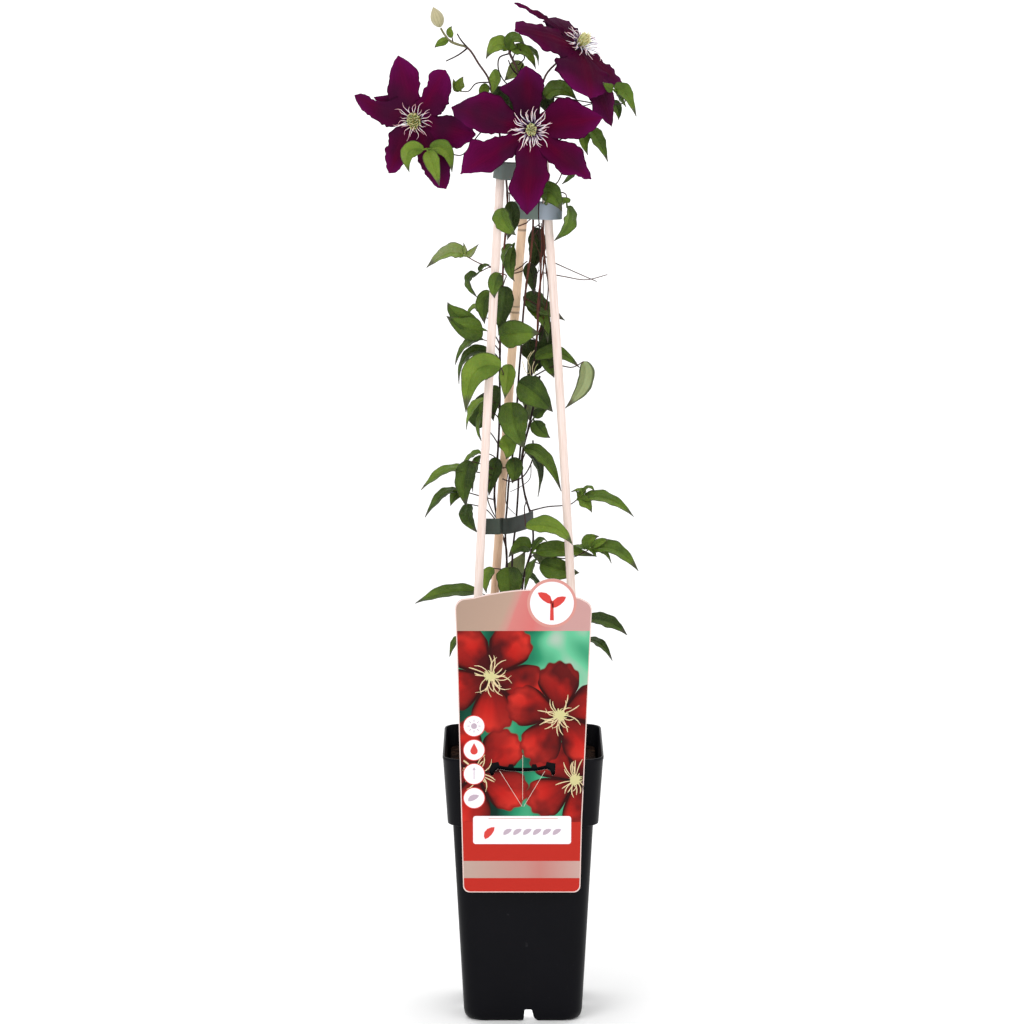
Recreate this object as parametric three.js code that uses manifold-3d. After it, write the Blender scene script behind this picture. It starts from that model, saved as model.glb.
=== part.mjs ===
// Clematis in flower, tied to a three-cane trellis in a square climber pot.
// Millimetres, +Z up, front towards -Y, origin under the middle of the pot.
import * as THREE from 'three';
import { mergeVertices } from 'three/addons/utils/BufferGeometryUtils.js';
import Module from 'manifold-3d';

const wasm = await Module();
wasm.setup();

// ---------------------------------------------------------------- driving dimensions
const GAP = 0.3;

const POT_HEIGHT = 225;
const RIM_WIDTH = 131;
const COLLAR_FOOT_WIDTH = 123;
const COLLAR_HEIGHT = 57;
const BODY_TOP_WIDTH = 114.5;
const BODY_FOOT_WIDTH = 97;
const POT_WALL = 1.8;
const POT_FLOOR = 3;
const NOTCH_WIDTH = 8;
const NOTCH_HEIGHT = 10.2;
const NOTCH_OFFSET = 4.5;
const SOIL_DEPTH_BELOW_RIM = 14;

const CANE_FOOT_Z = 165;
const DOWEL_RADIUS = 3.5;
const BAMBOO_RADIUS = 3.6;
const STRAP_HEIGHT = 13;
const STRAP_THICKNESS = 1.2;

const LABEL_Y = -67;
const LABEL_THICKNESS = 0.8;
const LABEL_FOOT_Z = 114.5;
const LABEL_SHOULDER_Z = 352;
const LABEL_BADGE = { x: 23, z: 354, radius: 20 };

const STEM_RADIUS = 1.1;
const PETIOLE_RADIUS = 0.75;
const BLADE_THICKNESS = 1.2;

// ---------------------------------------------------------------- routes and places
// Canes: [foot end of the visible line, top end, radius].
const CANES = {
  left: { low: [-41.6, -40, 231], top: [-17.8, -20, 702], radius: DOWEL_RADIUS },
  right: { low: [45.1, -20, 226], top: [16.7, 0, 706.5], radius: DOWEL_RADIUS },
  bamboo: { low: [-30.7, 35, 213.5], top: [3.9, 10, 703], radius: BAMBOO_RADIUS },
};

// Straps: plan line, middle height and tilt (degrees, right side up). The upper two are
// closed loops; the lower one is a strip with two ends, creased where it was pinched.
const STRAPS = {
  lower: {
    z: 409.5,
    tilt: 3.5,
    closed: false,
    line: [
      [-36.4, -26.4], [-32.6, -28], [-29, -27.6], [-18.9, -27.4], [-17.6, -24.6],
      [-16.2, -26.6], [-11, -24.4], [-4, -15.5], [3, -3.5], [8.6, 8],
    ],
  },
  middle: {
    z: 663,
    tilt: 0,
    closed: true,
    line: [
      [-6.4, 3], [2, -2.4], [13, -7], [22, -8.2], [29.5, -5.6], [31.6, 0.5], [26, 8],
      [13, 14.5], [3, 18.6], [-5.4, 16.4], [-8.4, 9.5],
    ],
  },
  upper: {
    z: 694,
    tilt: -10,
    closed: true,
    line: [
      [-24, -20.4], [-22, -24.8], [-17, -25.8], [-12, -21.5], [0, -5.5], [8.8, 6.6],
      [8.6, 13.4], [3.4, 16.2], [-2.4, 13.6], [-12, 0], [-21.6, -14],
    ],
  },
};

// Stems: centre lines from inside the soil to the growing tip.
const STEMS = {
  centre: [
    [-6, 6, 188], [-6, 6, 212], [-8, 8, 262], [-11.5, 10, 333], [-13, 12, 368.5],
    [-14.5, 17.5, 398.5], [-13, 16, 419.5], [-11.5, 12, 441], [-8, 6, 467], [-5.5, 4, 496],
    [-3.5, 4, 529], [-1.5, 4, 553.5], [0, 4, 578], [2.5, 2, 602.5], [6.5, 0, 631.5], [8, -1, 654],
    [8, -3, 680], [5.5, -3, 704.5], [2, 2, 736], [-3.5, 4, 772], [-11.5, 4, 790.5],
  ],
  right: [
    [4, 6, 188], [4, 6, 212], [-2, 5, 264], [-8, 4, 334.5], [-9, 6, 370], [-8, 12, 387],
    [-6, 16, 403], [-4, 16, 432], [-3.5, 14, 449], [-1.5, 10, 474.5], [3, 8, 508], [9, 8, 540.5],
    [12, 7, 569.5], [13.5, 6, 594], [14.5, 5, 622.5], [16, 5, 648.5], [16, 6.5, 679.5],
    [13.5, 7.5, 711.5], [12.5, 6, 739.5], [14.5, 4, 760], [18.5, 4, 772.5], [28, 4, 782.5],
    [37.5, 3, 789],
  ],
  left: [
    [-16, 8, 188], [-16, 8, 212], [-18, 12, 268], [-17, 16, 332], [-14, 23, 362.5], [-13.8, 31, 381],
    [-20.5, 32.5, 402], [-23.5, 28, 423.5], [-21.5, 22, 452], [-20, 16, 473.5], [-19, 10, 503.5],
    [-19, 8, 532.5], [-18.5, 6, 565.5], [-17, 4, 598.5], [-15.5, 2, 631], [-13, 2, 659.5],
    [-13, 3, 679.5], [-17, 6, 711.5], [-22.5, 8, 743.5], [-27.5, 6, 768], [-35.5, 4, 780.5],
    [-44.5, 4, 793.5], [-53, 3, 796.5], [-58.5, 2, 799], [-63.5, 1, 805], [-66, 0, 809.5],
  ],
  low: [
    [14, 0, 188], [14, 0, 212], [5, -1, 268], [-1.5, 0, 335], [1, 4, 363.5], [8, 8, 388],
    [7, 14, 409], [1.5, 14, 428.5], [-1, 8, 448.5], [0, 4, 467.5], [5, 2, 488], [9.5, 0, 509],
    [13.5, -1, 529],
  ],
};

// Leaves of each stem: [height on the stem, petiole bends, hub, leaflets], and
// each leaflet is [middle of the arch, tip, width, way its upper face looks].
const LEAVES = {
  centre: [
    [787, [], [-12, 4, 792], [[[-21, 2, 796], [-30, 0, 785], 16, 'raised']]],
    [789, [], [-11, 3, 792], [[[-7, 0, 801], [1, -3, 797], 14, 'raised']]],
    [788, [], [-10, 3, 792], [[[2, 1, 790], [10, -1, 777], 12, 'slant']]],
    [784, [[-6, 8, 790]], [0, 9, 794], [[[9, 9, 789], [12, 10, 779], 9, 'edge']]],
    [773, [], [0, 9, 781], [[[-7, 9, 775], [-15, 9, 767], 14, 'front']]],
    [494, [], [-9, -6, 508], [[[-7, -13, 491], [1, -12, 471], 26, 'front']]],
    [470, [], [-17, -1, 479], [[[-12, -5, 471], [-14, -5, 461], 15, 'front']]],
    [449, [], [-9, 4, 461], [[[-7, 1, 451], [-9, 2, 440], 15, 'front']]],
    [355, [], [-12, -2, 371], [[[-11, -9, 358], [-11, -9, 339], 23, 'front']]],
    [351, [[-6, 8, 354]], [-2, 10, 361], [[[7, 12, 360], [15, 11, 351], 12, 'up']]],
    [338, [[-15, 6, 340]], [-20, 2, 340], [[[-30, 0, 334], [-40, -4, 321], 14, 'left']]],
    [604, [], [4, 8, 620], [[[6.5, 9, 609], [9, 9, 594], 12, 'front']]],
  ],
  right: [
    [752, [], [18, 1, 754], [[[29, -4, 761], [43, -7, 753], 18, 'raised']]],
    [755, [[35, 18, 752], [62, 16, 748], [79, 4, 749], [81, -12, 754]], [72, -22, 762], [
      [[81, -25, 759], [90, -27, 741], 15, 'frontRight'], [[68, -23, 764], [63, -23, 768], 8, 'front'],
      [[77, -24, 755], [82, -24, 748], 8, 'right']]],
    [736, [[34, 14, 742], [57, 20, 748]], [72, 17, 750], [
      [[76, 17, 744], [77, 16, 735], 9, 'front']]],
    [712, [[30, 6, 720], [42, 4, 726]], [53, 1, 729], [
      [[60, -2, 720], [68, -4, 703], 15, 'frontRight'], [[49, 0, 720], [52, -2, 708], 10, 'front']]],
    [710, [[18, 0, 717]], [22, -6, 722], [[[33, -8, 725], [45, -8, 722], 11, 'up']]],
    [683, [[26, 6, 684], [31, 2, 693]], [32, -3, 698], [
      [[38, -5, 694], [31, -6, 685], 11, 'right']]],
    [679, [[11, -4, 680], [10, -15, 681]], [14, -21, 676], [
      [[22, -27, 679], [31, -26, 665], 21, 'front']]],
    [672, [[25, 4, 677], [34, -2, 677]], [35, -6, 670], [
      [[36, -9, 655], [25, -11, 640], 13, 'right'], [[34, -7, 672], [31, -8, 675], 5, 'front']]],
    [585, [], [0, 9, 592], [[[14, 11, 584], [34, 9, 573], 21, 'raised']]],
    [580, [], [3, 8, 584], [[[15, 9, 576], [20, 7, 555], 16, 'slant']]],
    [536, [], [10, 4, 542], [[[27, 5, 547], [46, 3, 535], 14, 'raised']]],
    [526, [[27, 2, 537], [40, -1, 536]], [49, -3, 541], [
      [[49, -2, 523], [34, 0, 502], 13, 'away']]],
    [524, [], [-4, -4, 524], [[[10, -9, 515], [24, -12, 501], 26, 'front']]],
    [556, [[8, 14, 558]], [4, 20, 556], [[[7, 26, 546], [12, 26, 529], 19, 'front']]],
    [648, [[12, 12, 650]], [9, 14, 648], [[[11.4, 16.5, 631], [6.6, 17.5, 612], 16, 'front']]],
    [540, [], [14, 12, 548], [[[10, 16, 538], [3, 18, 524], 15, 'front']]],
    [746, [], [14, 12, 760], [[[19, 13, 749], [22, 13, 737], 14, 'front']]],
    [560, [], [20, 12, 572], [[[19, 14, 558], [14, 14, 541], 15, 'front']]],
    [532, [], [17, 6, 546], [[[21, 4, 537], [25, 2, 527], 12, 'front']]],
  ],
  left: [
    [736, [[-35, 4, 725], [-48, -2, 709], [-57, -15, 710], [-67, -21, 713]], [-77, -22, 715], [
      [[-92, -23, 712], [-91, -22, 696], 18, 'front'],
      [[-72, -30, 703], [-67, -30, 686], 17, 'front'],
      [[-62, -22, 714], [-57, -22, 696], 17, 'front']]],
    [766, [[-38, 5, 765], [-44, 3, 759]], [-50, 2, 759], [
      [[-51, 1, 765], [-48, 1, 771], 9, 'front'], [[-54, 2, 763], [-56, 2, 769], 7, 'front']]],
    [797, [], [-60, 2, 800], [[[-66, 0, 798], [-71, -1, 794], 7, 'front']]],
    [798, [], [-57, 3, 802], [[[-59, 2, 807], [-57, 1, 811], 6, 'front']]],
    [345, [[-14, 27, 348]], [-12, 32, 352], [[[-6, 38, 362], [2, 40, 377], 18, 'back']]],
    [470, [[-26, 22, 478]], [-32, 22, 484], [[[-36, 20, 498], [-30, 16, 514], 20, 'front']]],
    [763, [], [-24, 1, 776], [[[-22, -3, 767], [-26, -3, 756], 12, 'frontLeft']]],
    [758, [], [-28, 9, 763], [[[-32, 9, 759], [-35, 9, 751], 9, 'front']]],
    [752, [], [-23, 5, 759], [[[-17, 1, 755], [-11, 1, 746], 14, 'front']]],
    [642, [[-13, -12, 647], [-13, -23, 658]], [-18, -29, 668], [
      [[-15, -33, 657], [-6, -30, 646.5], 18, 'frontLeft']]],
    [676, [[-11, -9, 678]], [-11, -15, 672], [[[-9, -18, 658], [-13, -15, 641], 14, 'front']]],
    [621, [], [-7, 2, 637], [
      [[-15, -1, 628], [-13, 0, 614], 11, 'left'], [[-11, 0, 618], [-7, 0, 606], 10, 'front']]],
    [602, [[-24, -3, 617], [-35, -5, 621]], [-46, -6, 627], [
      [[-60, -10, 630], [-78, -13, 618.5], 20, 'tipped'],
      [[-42, -6, 630], [-36, -6, 637], 6, 'front'], [[-47, -5, 632], [-48, -5, 638], 4, 'front']]],
    [598, [[-25, -6, 618]], [-36, -8, 614], [
      [[-44, -10, 607], [-37, -11, 594], 12, 'left'], [[-32, -7, 619], [-27, -6, 620], 7, 'up']]],
    [600, [[-15, -12, 608], [-14, -25, 614]], [-19, -30, 616], [
      [[-23, -32, 607], [-23, -31, 596], 13, 'front']]],
    [590, [], [-15, 0, 602], [[[-16, -3, 586], [-20, -2, 562], 17, 'front']]],
    [582, [[-20, -3, 591]], [-26, -7, 598], [[[-32, -8, 588], [-31, -6, 572], 15, 'front']]],
    [553, [[-23, -2, 562]], [-30, -8, 567], [
      [[-46, -12, 570], [-62, -11, 579], 21, 'front'],
      [[-52, -10, 579], [-61, -8, 590], 16, 'front']]],
    [566, [[-24, -2, 575]], [-32, -4, 577], [[[-39, -4, 585], [-46, -3, 576], 13, 'up']]],
    [548, [[-25, -2, 556]], [-32, -5, 559], [[[-46, -8, 555], [-55, -8, 539], 13, 'up']]],
    [540, [[-23, 0, 547]], [-28, -3, 550], [[[-46, -6, 545], [-52, -7, 523], 13, 'left']]],
    [525, [[-16, -12, 532]], [-18, -30, 540], [[[-39, -38, 537], [-46, -36, 504], 24, 'front']]],
    [526, [], [-12, -5, 539], [[[-13, -9, 527], [-15, -8, 511], 14, 'front']]],
    [548, [], [-19, -3, 561], [[[-4, -10, 565], [13, -9, 565], 24, 'front']]],
    [500, [[-24, -2, 508]], [-30, -6, 511], [[[-41, -9, 502], [-46, -8, 486], 13, 'left']]],
    [492, [[-24, 0, 498]], [-32, -4, 501], [[[-36, -5, 489], [-34, -5, 476], 9, 'left']]],
    [510, [], [-21, 5, 520], [[[-25, 1, 507], [-24, 3, 491], 13, 'front']]],
    [451, [], [-21, 15, 459], [[[-25, 12, 446], [-28, 12, 428], 14, 'front']]],
    [442, [[-29, 6, 447]], [-45, -6, 452], [[[-64, -9, 451], [-83, -13, 437], 17, 'up']]],
    [422, [[-32, 6, 428]], [-50, -4, 435], [
      [[-66, -7, 431], [-80, -11, 414], 15, 'up'], [[-56, -7, 431], [-59, -8, 423], 9, 'front']]],
    [446, [[-30, 0, 455]], [-42, -9, 460], [[[-48, -13, 444], [-46, -13, 423], 18, 'front']]],
    [457, [[-26, 6, 463]], [-33, -1, 466], [
      [[-39, -4, 452], [-41, -5, 434], 13, 'left'], [[-42, 0, 463], [-50, 0, 454], 10, 'up']]],
    [402, [[-32, 6, 419]], [-43, -5, 424], [[[-45, -9, 414], [-37, -9, 401], 15, 'frontLeft']]],
    [364, [], [-24, 5, 369], [[[-30, 2, 361], [-30, 1, 349], 13, 'frontLeft']]],
    [339, [[-27, 0, 346]], [-37, -8, 352], [
      [[-63, -13, 352], [-88, -17, 344], 17, 'tipped']]],
    [336, [[-32, 4, 321]], [-47, -8, 315], [[[-55, -12, 311], [-60, -15, 299], 11, 'left']]],
    [748, [], [-17, 12, 759], [[[-11, 13, 749], [-7, 13, 736], 14, 'front']]],
  ],
  low: [
    [488, [], [8, -3, 494], [
      [[14, -6, 485], [22, -7, 479], 13, 'front'], [[14, -4, 500], [20, -5, 502], 9, 'front']]],
    [462, [], [1, -2, 469], [[[17, -7, 462], [31, -7, 435], 15, 'slant']]],
    [459, [], [2, 0, 466], [[[12, -4, 454], [12, -6, 430], 15, 'right']]],
    [424, [[2, -8, 425], [1, -25, 423]], [2, -31, 410], [
      [[24, -34, 410], [40, -36, 396], 17, 'raised']]],
    [382, [], [6, 0, 386], [[[-2, -4, 389], [-12, -5, 380], 16, 'raised']]],
    [379, [], [7, -2, 383], [
      [[30, -3, 385.5], [60, -4, 380.5], 17, 'raised'], [[14, 2, 393], [20, 4, 391], 8, 'up']]],
    [372, [[9, 0, 375]], [14, -2, 374], [[[30, -7, 370], [46, -10, 368], 20, 'front']]],
    [368, [[7, -2, 376]], [11, -6, 379], [[[6, -10, 369], [1, -12, 352], 13, 'left']]],
    [415, [[20, 6, 420], [32, 0, 422], [39, -4, 424]], [44, -6, 428], [
      [[69, -10, 429], [90, -13, 415], 15, 'tipped'], [[51, -9, 426], [56, -10, 418], 11, 'front'],
      [[47, -5, 435], [39, -4, 434], 9, 'up'], [[53, -6, 438], [58, -8, 435], 6, 'up']]],
    [389, [[27, 0, 379], [40, -6, 380]], [54, -8, 387], [
      [[76, -12, 387], [94, -16, 370.5], 16, 'tipped'], [[65, -10, 386], [72, -11, 376], 9, 'right'],
      [[54, -7, 395], [62, -8, 398], 12, 'front'], [[63, -10, 394], [69, -12, 396], 7, 'front'],
      [[46, -8, 389], [39, -7, 390], 9, 'up'], [[57, -9, 385], [60, -10, 381], 5, 'up']]],
    [339, [[27, 0, 338], [42, -8, 332]], [52, -12, 329], [
      [[69, -16, 328.5], [85, -19, 318], 16, 'tipped']]],
    [336, [[22, 0, 325], [40, -6, 315]], [52, -10, 312], [
      [[63, -13, 309], [73, -16, 296], 12, 'up']]],
    [498, [[8, 12, 502]], [9, 20, 504], [[[7, 30, 500], [5, 38, 487], 18, 'back']]],
    [376, [[9, 18, 378]], [13, 27, 378], [[[16, 34, 373], [20, 39, 358], 14, 'back']]],
  ],
};

const FACING = {
  front: [0, -1, 0.15],
  up: [0, -0.3, 1],
  down: [0, -0.35, -1],
  left: [-1, -0.5, 0.2],
  right: [1, -0.5, 0.2],
  slant: [0.6, -0.7, 0.3],
  edge: [0.9, -0.35, 0.2],
  raised: [0.1, -0.75, 0.65],
  tipped: [0, -0.55, 0.83],
  back: [0, 1, 0.2],
  away: [0.5, 0.85, 0.1],
  frontLeft: [-0.6, -0.8, 0.2],
  frontRight: [0.6, -0.8, 0.2],
};

// Blooms: centre, way it faces, bends of its stalk from the stem at stalkZ, and tepals.
// A tepal is [tip, bow towards the front, half widths on its left, half widths on its right],
// the widths at the stations TEPAL_STATIONS along it.
const TEPAL_STATIONS = [0.15, 0.35, 0.52, 0.68, 0.82, 0.94];
const BLOOMS = {
  front: {
    centre: [6, -34, 731.5], faces: [0.02, -1, 0.04],
    stem: 'centre', stalkZ: 715, stalk: [[5, -12, 724], [6, -25, 731]],
    stamenReach: 17.5, boss: [4.2, 5.6],
    tepals: [
      [[2, -37, 782], 3, [10, 12, 16, 21, 11, 5], [7, 8, 11, 13, 11, 5]],
      [[63, -35, 741], 3, [10, 17, 20, 17, 10, 4], [6, 10, 13, 14, 10, 4]],
      [[54, -36, 692], 3, [6, 7, 13, 13, 7, 4], [6, 10, 10, 12, 6, 3]],
      [[3, -38, 664], 3, [6, 13, 17, 13, 10, 4], [8, 11, 12, 16, 11, 5]],
      [[-50, -37, 696], 3, [7, 10, 11, 11, 6, 2], [4, 8, 13, 17, 12, 5]],
      [[-57, -35, 749], 3, [6, 10, 13, 14, 10, 6], [6, 13, 20, 17, 11, 4]],
    ],
  },
  left: {
    centre: [-86, -7, 736.5], faces: [-0.22, -0.97, 0.03],
    stem: 'left', stalkZ: 750, stalk: [[-50, 8, 738], [-80, 7, 736]],
    stamenReach: 14, boss: [5.5, 5.5],
    tepals: [
      [[-100, -6, 788], 3, [10, 17, 16, 12, 9, 4], [8, 9, 12, 13, 9, 4]],
      [[-62, -14, 777], 3, [6, 6, 7, 7, 9, 6], [7, 16, 15, 15, 12, 6]],
      [[-38, -19, 726], 2, [5, 8, 10, 9, 6, 3], [6, 14, 15, 15, 12, 6]],
      [[-62, -12, 682], 3, [7, 13, 16, 13, 10, 5], [7, 8, 12, 11, 8, 6]],
      [[-108, -5, 694], 3, [7, 13, 11, 8, 7, 5], [6, 14, 12, 11, 8, 4]],
      [[-135, -2, 756], 3, [6, 13, 12, 11, 9, 4], [7, 12, 5, 3, 4, 3]],
      [[-120, 5, 754], 1, [3, 3, 3, 2, 2, 1], [5, 10, 11, 9, 5, 2]],
    ],
  },
  right: {
    centre: [43, 0, 793.5], faces: [0.55, -0.5, 0.67],
    stem: 'right', stalkZ: 789, stalk: [],
    stamenReach: 14, boss: [4.6, 6.5],
    tepals: [
      [[-7, -4, 830], 5, [3, 3, 3, 3, 3, 2], [4, 4, 4, 4, 3, 2]],
      [[-7, -37, 809], 4, [10, 18, 17, 13, 6, 2], [7, 12, 13, 11, 12, 10]],
      [[26, 22, 817], 4, [9, 14, 18, 20, 18, 13], [7, 10, 11, 11, 10, 7]],
      [[53, -40, 756], 4, [10, 20, 22, 20, 15, 7], [9, 22, 31, 30, 25, 13]],
      [[79, -4, 763], 3, [6, 8, 8, 9, 8, 5], [12, 21, 24, 23, 14, 6]],
      [[70, -16, 732], 2, [8, 16, 18, 18, 11, 5], [8, 11, 11, 13, 11, 5]],
    ],
  },
};
const STAMENS_PER_BLOOM = 15;

const BUD = { foot: [-66.2, 0, 810.1], tip: [-72.1, 0, 826.5], radius: 5.6 };

// Thin side shoots and tendrils of each stem: [radius, points]; the first lies in the stem.
const SHOOTS = {
  centre: [
    [0.8, [[-11.5, 4, 789], [-19, 3, 786], [-20, 3, 777], [-16, 3, 768], [-12, 3, 764]]],
    [0.8, [[-3.5, 4, 771], [-9, 3, 777], [-12, 3, 784]]],
    [0.8, [[-4, 4, 780], [1, 1, 786], [-3, 1, 793]]],
  ],
  right: [
    [0.8, [[15.2, 5, 612.5], [22, 3.5, 611.5], [33, -1, 610], [50.7, -4, 607.7], [68, -5, 612]]],
    [0.8, [[15.3, 5, 628], [22, 4, 622.5], [35.4, 1, 616.3], [59.7, 0, 605.7]]],
    [0.8, [[15.9, 4, 653], [17, 3, 622], [12.4, 1, 595], [12, 2, 572], [10.5, 7, 552]]],
    [0.8, [[16, 5, 648], [17.6, 9, 624], [20.4, 10, 600], [17.8, 10, 580], [12.2, 8, 562]]],
  ],
  left: [
    [0.9, [[-44.5, 4, 793.5], [-50, 3, 800], [-53, 3, 805]]],
    [0.9, [[-44.5, 4, 793.5], [-52, 4, 788], [-62, 4, 783]]],
    [0.8, [[-21.8, 22, 447], [-28, 8, 440], [-29, -12, 430], [-25, -22, 421], [-22, -23.4, 416]]],
  ],
  low: [
    [0.8, [[8, 5, 475], [8, -3, 462], [0, -6, 447], [-10, -6, 443], [-17, -5, 445]]],
  ],
};

// ---------------------------------------------------------------- helpers
const vec = (p) => new THREE.Vector3(...p);

// A closed three.js geometry as a solid that can be joined and cut.
function solid(geometry) {
  const bare = geometry.clone();
  bare.deleteAttribute('normal');
  bare.deleteAttribute('uv');
  const merged = mergeVertices(bare, 1e-4);
  return new wasm.Manifold(new wasm.Mesh({
    numProp: 3,
    vertProperties: new Float32Array(merged.attributes.position.array),
    triVerts: new Uint32Array(merged.index.array),
  }));
}

// Joins solids that grow from one another and keeps the one body they make.
function fuse(solids) {
  const joined = solids.reduce((all, next) => all.add(next));
  const bodies = joined.decompose();
  return bodies.sort((a, b) => b.volume() - a.volume())[0];
}

function toMesh(name, body, material) {
  const { vertProperties, triVerts } = body.getMesh();
  const geometry = new THREE.BufferGeometry();
  geometry.setAttribute('position', new THREE.BufferAttribute(vertProperties, 3));
  geometry.setIndex(new THREE.BufferAttribute(triVerts, 1));
  geometry.computeVertexNormals();
  const mesh = new THREE.Mesh(geometry, material);
  mesh.name = name;
  return mesh;
}

// Closed surface through rings of equal point count, ended by a fan at each end.
// Columns from flipFrom on are split along the other diagonal.
function loft(rings, flipFrom = Infinity) {
  const count = rings[0].length;
  const points = rings.flat();
  const middle = (ring) => ring.reduce((sum, p) => sum.add(p), new THREE.Vector3())
    .divideScalar(count);
  const triangles = [];
  for (let r = 0; r < rings.length - 1; r += 1) {
    for (let i = 0; i < count; i += 1) {
      const a = r * count + i;
      const b = r * count + ((i + 1) % count);
      if (i < flipFrom) {
        triangles.push(a, b, b + count, a, b + count, a + count);
      } else {
        triangles.push(a, b, a + count, b, b + count, a + count);
      }
    }
  }
  const foot = points.push(middle(rings[0])) - 1;
  const head = points.push(middle(rings.at(-1))) - 1;
  const last = (rings.length - 1) * count;
  for (let i = 0; i < count; i += 1) {
    const next = (i + 1) % count;
    triangles.push(foot, next, i, head, last + i, last + next);
  }
  const geometry = new THREE.BufferGeometry();
  geometry.setAttribute('position', new THREE.Float32BufferAttribute(
    points.flatMap((p) => p.toArray()), 3));
  geometry.setIndex(triangles);
  return geometry;
}

// Square with round corners at height z, anticlockwise seen from above.
function squareRing(width, corner, z, steps = 4) {
  const ring = [];
  const inset = width / 2 - corner;
  for (let quarter = 0; quarter < 4; quarter += 1) {
    const cx = [1, -1, -1, 1][quarter] * inset;
    const cy = [1, 1, -1, -1][quarter] * inset;
    for (let i = 0; i <= steps; i += 1) {
      const turn = (quarter + i / steps) * Math.PI / 2;
      ring.push(new THREE.Vector3(cx + corner * Math.cos(turn), cy + corner * Math.sin(turn), z));
    }
  }
  return ring;
}

// Straight round rod between two points.
function rod(from, to, radius, sides = 12) {
  const geometry = new THREE.CylinderGeometry(radius, radius, from.distanceTo(to), sides);
  const along = to.clone().sub(from).normalize();
  const turn = new THREE.Quaternion().setFromUnitVectors(new THREE.Vector3(0, 1, 0), along);
  geometry.applyQuaternion(turn);
  const middle = from.clone().add(to).multiplyScalar(0.5);
  return geometry.translate(middle.x, middle.y, middle.z);
}

// Round bar that follows a smooth line through the points.
function bar(points, radius, sides, steps) {
  const section = new THREE.Shape();
  for (let i = 0; i < sides; i += 1) {
    const turn = (i / sides) * 2 * Math.PI;
    const place = [radius * Math.cos(turn), radius * Math.sin(turn)];
    if (i === 0) {
      section.moveTo(...place);
    } else {
      section.lineTo(...place);
    }
  }
  section.closePath();
  const path = new THREE.CatmullRomCurve3(points.map(vec), false, 'centripetal');
  return new THREE.ExtrudeGeometry(section, { steps, bevelEnabled: false, extrudePath: path });
}

// Point of a quadratic arch through start, middle and end.
function arch(start, middle, end, t) {
  const control = middle.clone().multiplyScalar(2)
    .addScaledVector(start, -0.5).addScaledVector(end, -0.5);
  return start.clone().multiplyScalar((1 - t) ** 2)
    .addScaledVector(control, 2 * t * (1 - t)).addScaledVector(end, t * t);
}

// Frame at place t of an arch: the point, the way on, across to the left and up.
function archFrame(start, middle, end, facing, t) {
  const here = arch(start, middle, end, t);
  const ahead = arch(start, middle, end, t + 0.01).sub(arch(start, middle, end, t - 0.01));
  ahead.normalize();
  const across = new THREE.Vector3().crossVectors(facing, ahead).normalize();
  const up = new THREE.Vector3().crossVectors(ahead, across);
  return { here, ahead, across, up };
}

// Lens-shaped section of a leaf or its stalk: left edge, upper face, right edge, lower face.
function lensRing({ here, across, up }, half, lift, thickness) {
  const point = (side, rise) => here.clone().addScaledVector(across, side).addScaledVector(up, rise);
  return [
    point(half, lift[0]), point(0, thickness / 2), point(-half, lift[1]), point(0, -thickness / 2),
  ];
}

// Plate section of a tepal: left, middle, right on its face, then back along its underside.
function plateRing({ here, across, up }, left, right, lifts, thickness) {
  const point = (side, rise, face) => here.clone()
    .addScaledVector(across, side).addScaledVector(up, rise + face * thickness / 2);
  return [
    point(left, lifts[0], 1), point(0, lifts[1], 1), point(-right, lifts[2], 1),
    point(-right, lifts[2], -1), point(0, lifts[1], -1), point(left, lifts[0], -1),
  ];
}

// ---------------------------------------------------------------- materials
function material(color, roughness, metalness = 0) {
  return new THREE.MeshStandardMaterial({ color, roughness, metalness });
}
const potPlastic = material(0x1c1b20, 0.45);
const pottingMix = material(0x4a3526, 0.95);
const paleWood = material(0xf0e0d8, 0.7);
const bambooWood = material(0xc9a27c, 0.6);
const strapPlastic = material(0x59625f, 0.5);
const printedCard = material(0xb85a55, 0.55);
const leafGreen = material(0x4f7a2c, 0.55);
const tepalPurple = material(0x4a0d2e, 0.7);
const filamentPink = material(0xe3c9d2, 0.6);
const bossGreen = material(0xb9bb6a, 0.6);
const budBeige = material(0xb8ae90, 0.7);

// ---------------------------------------------------------------- pot, soil and canes
const collarFootZ = POT_HEIGHT - COLLAR_HEIGHT;
const soilTopZ = POT_HEIGHT - SOIL_DEPTH_BELOW_RIM;

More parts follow.
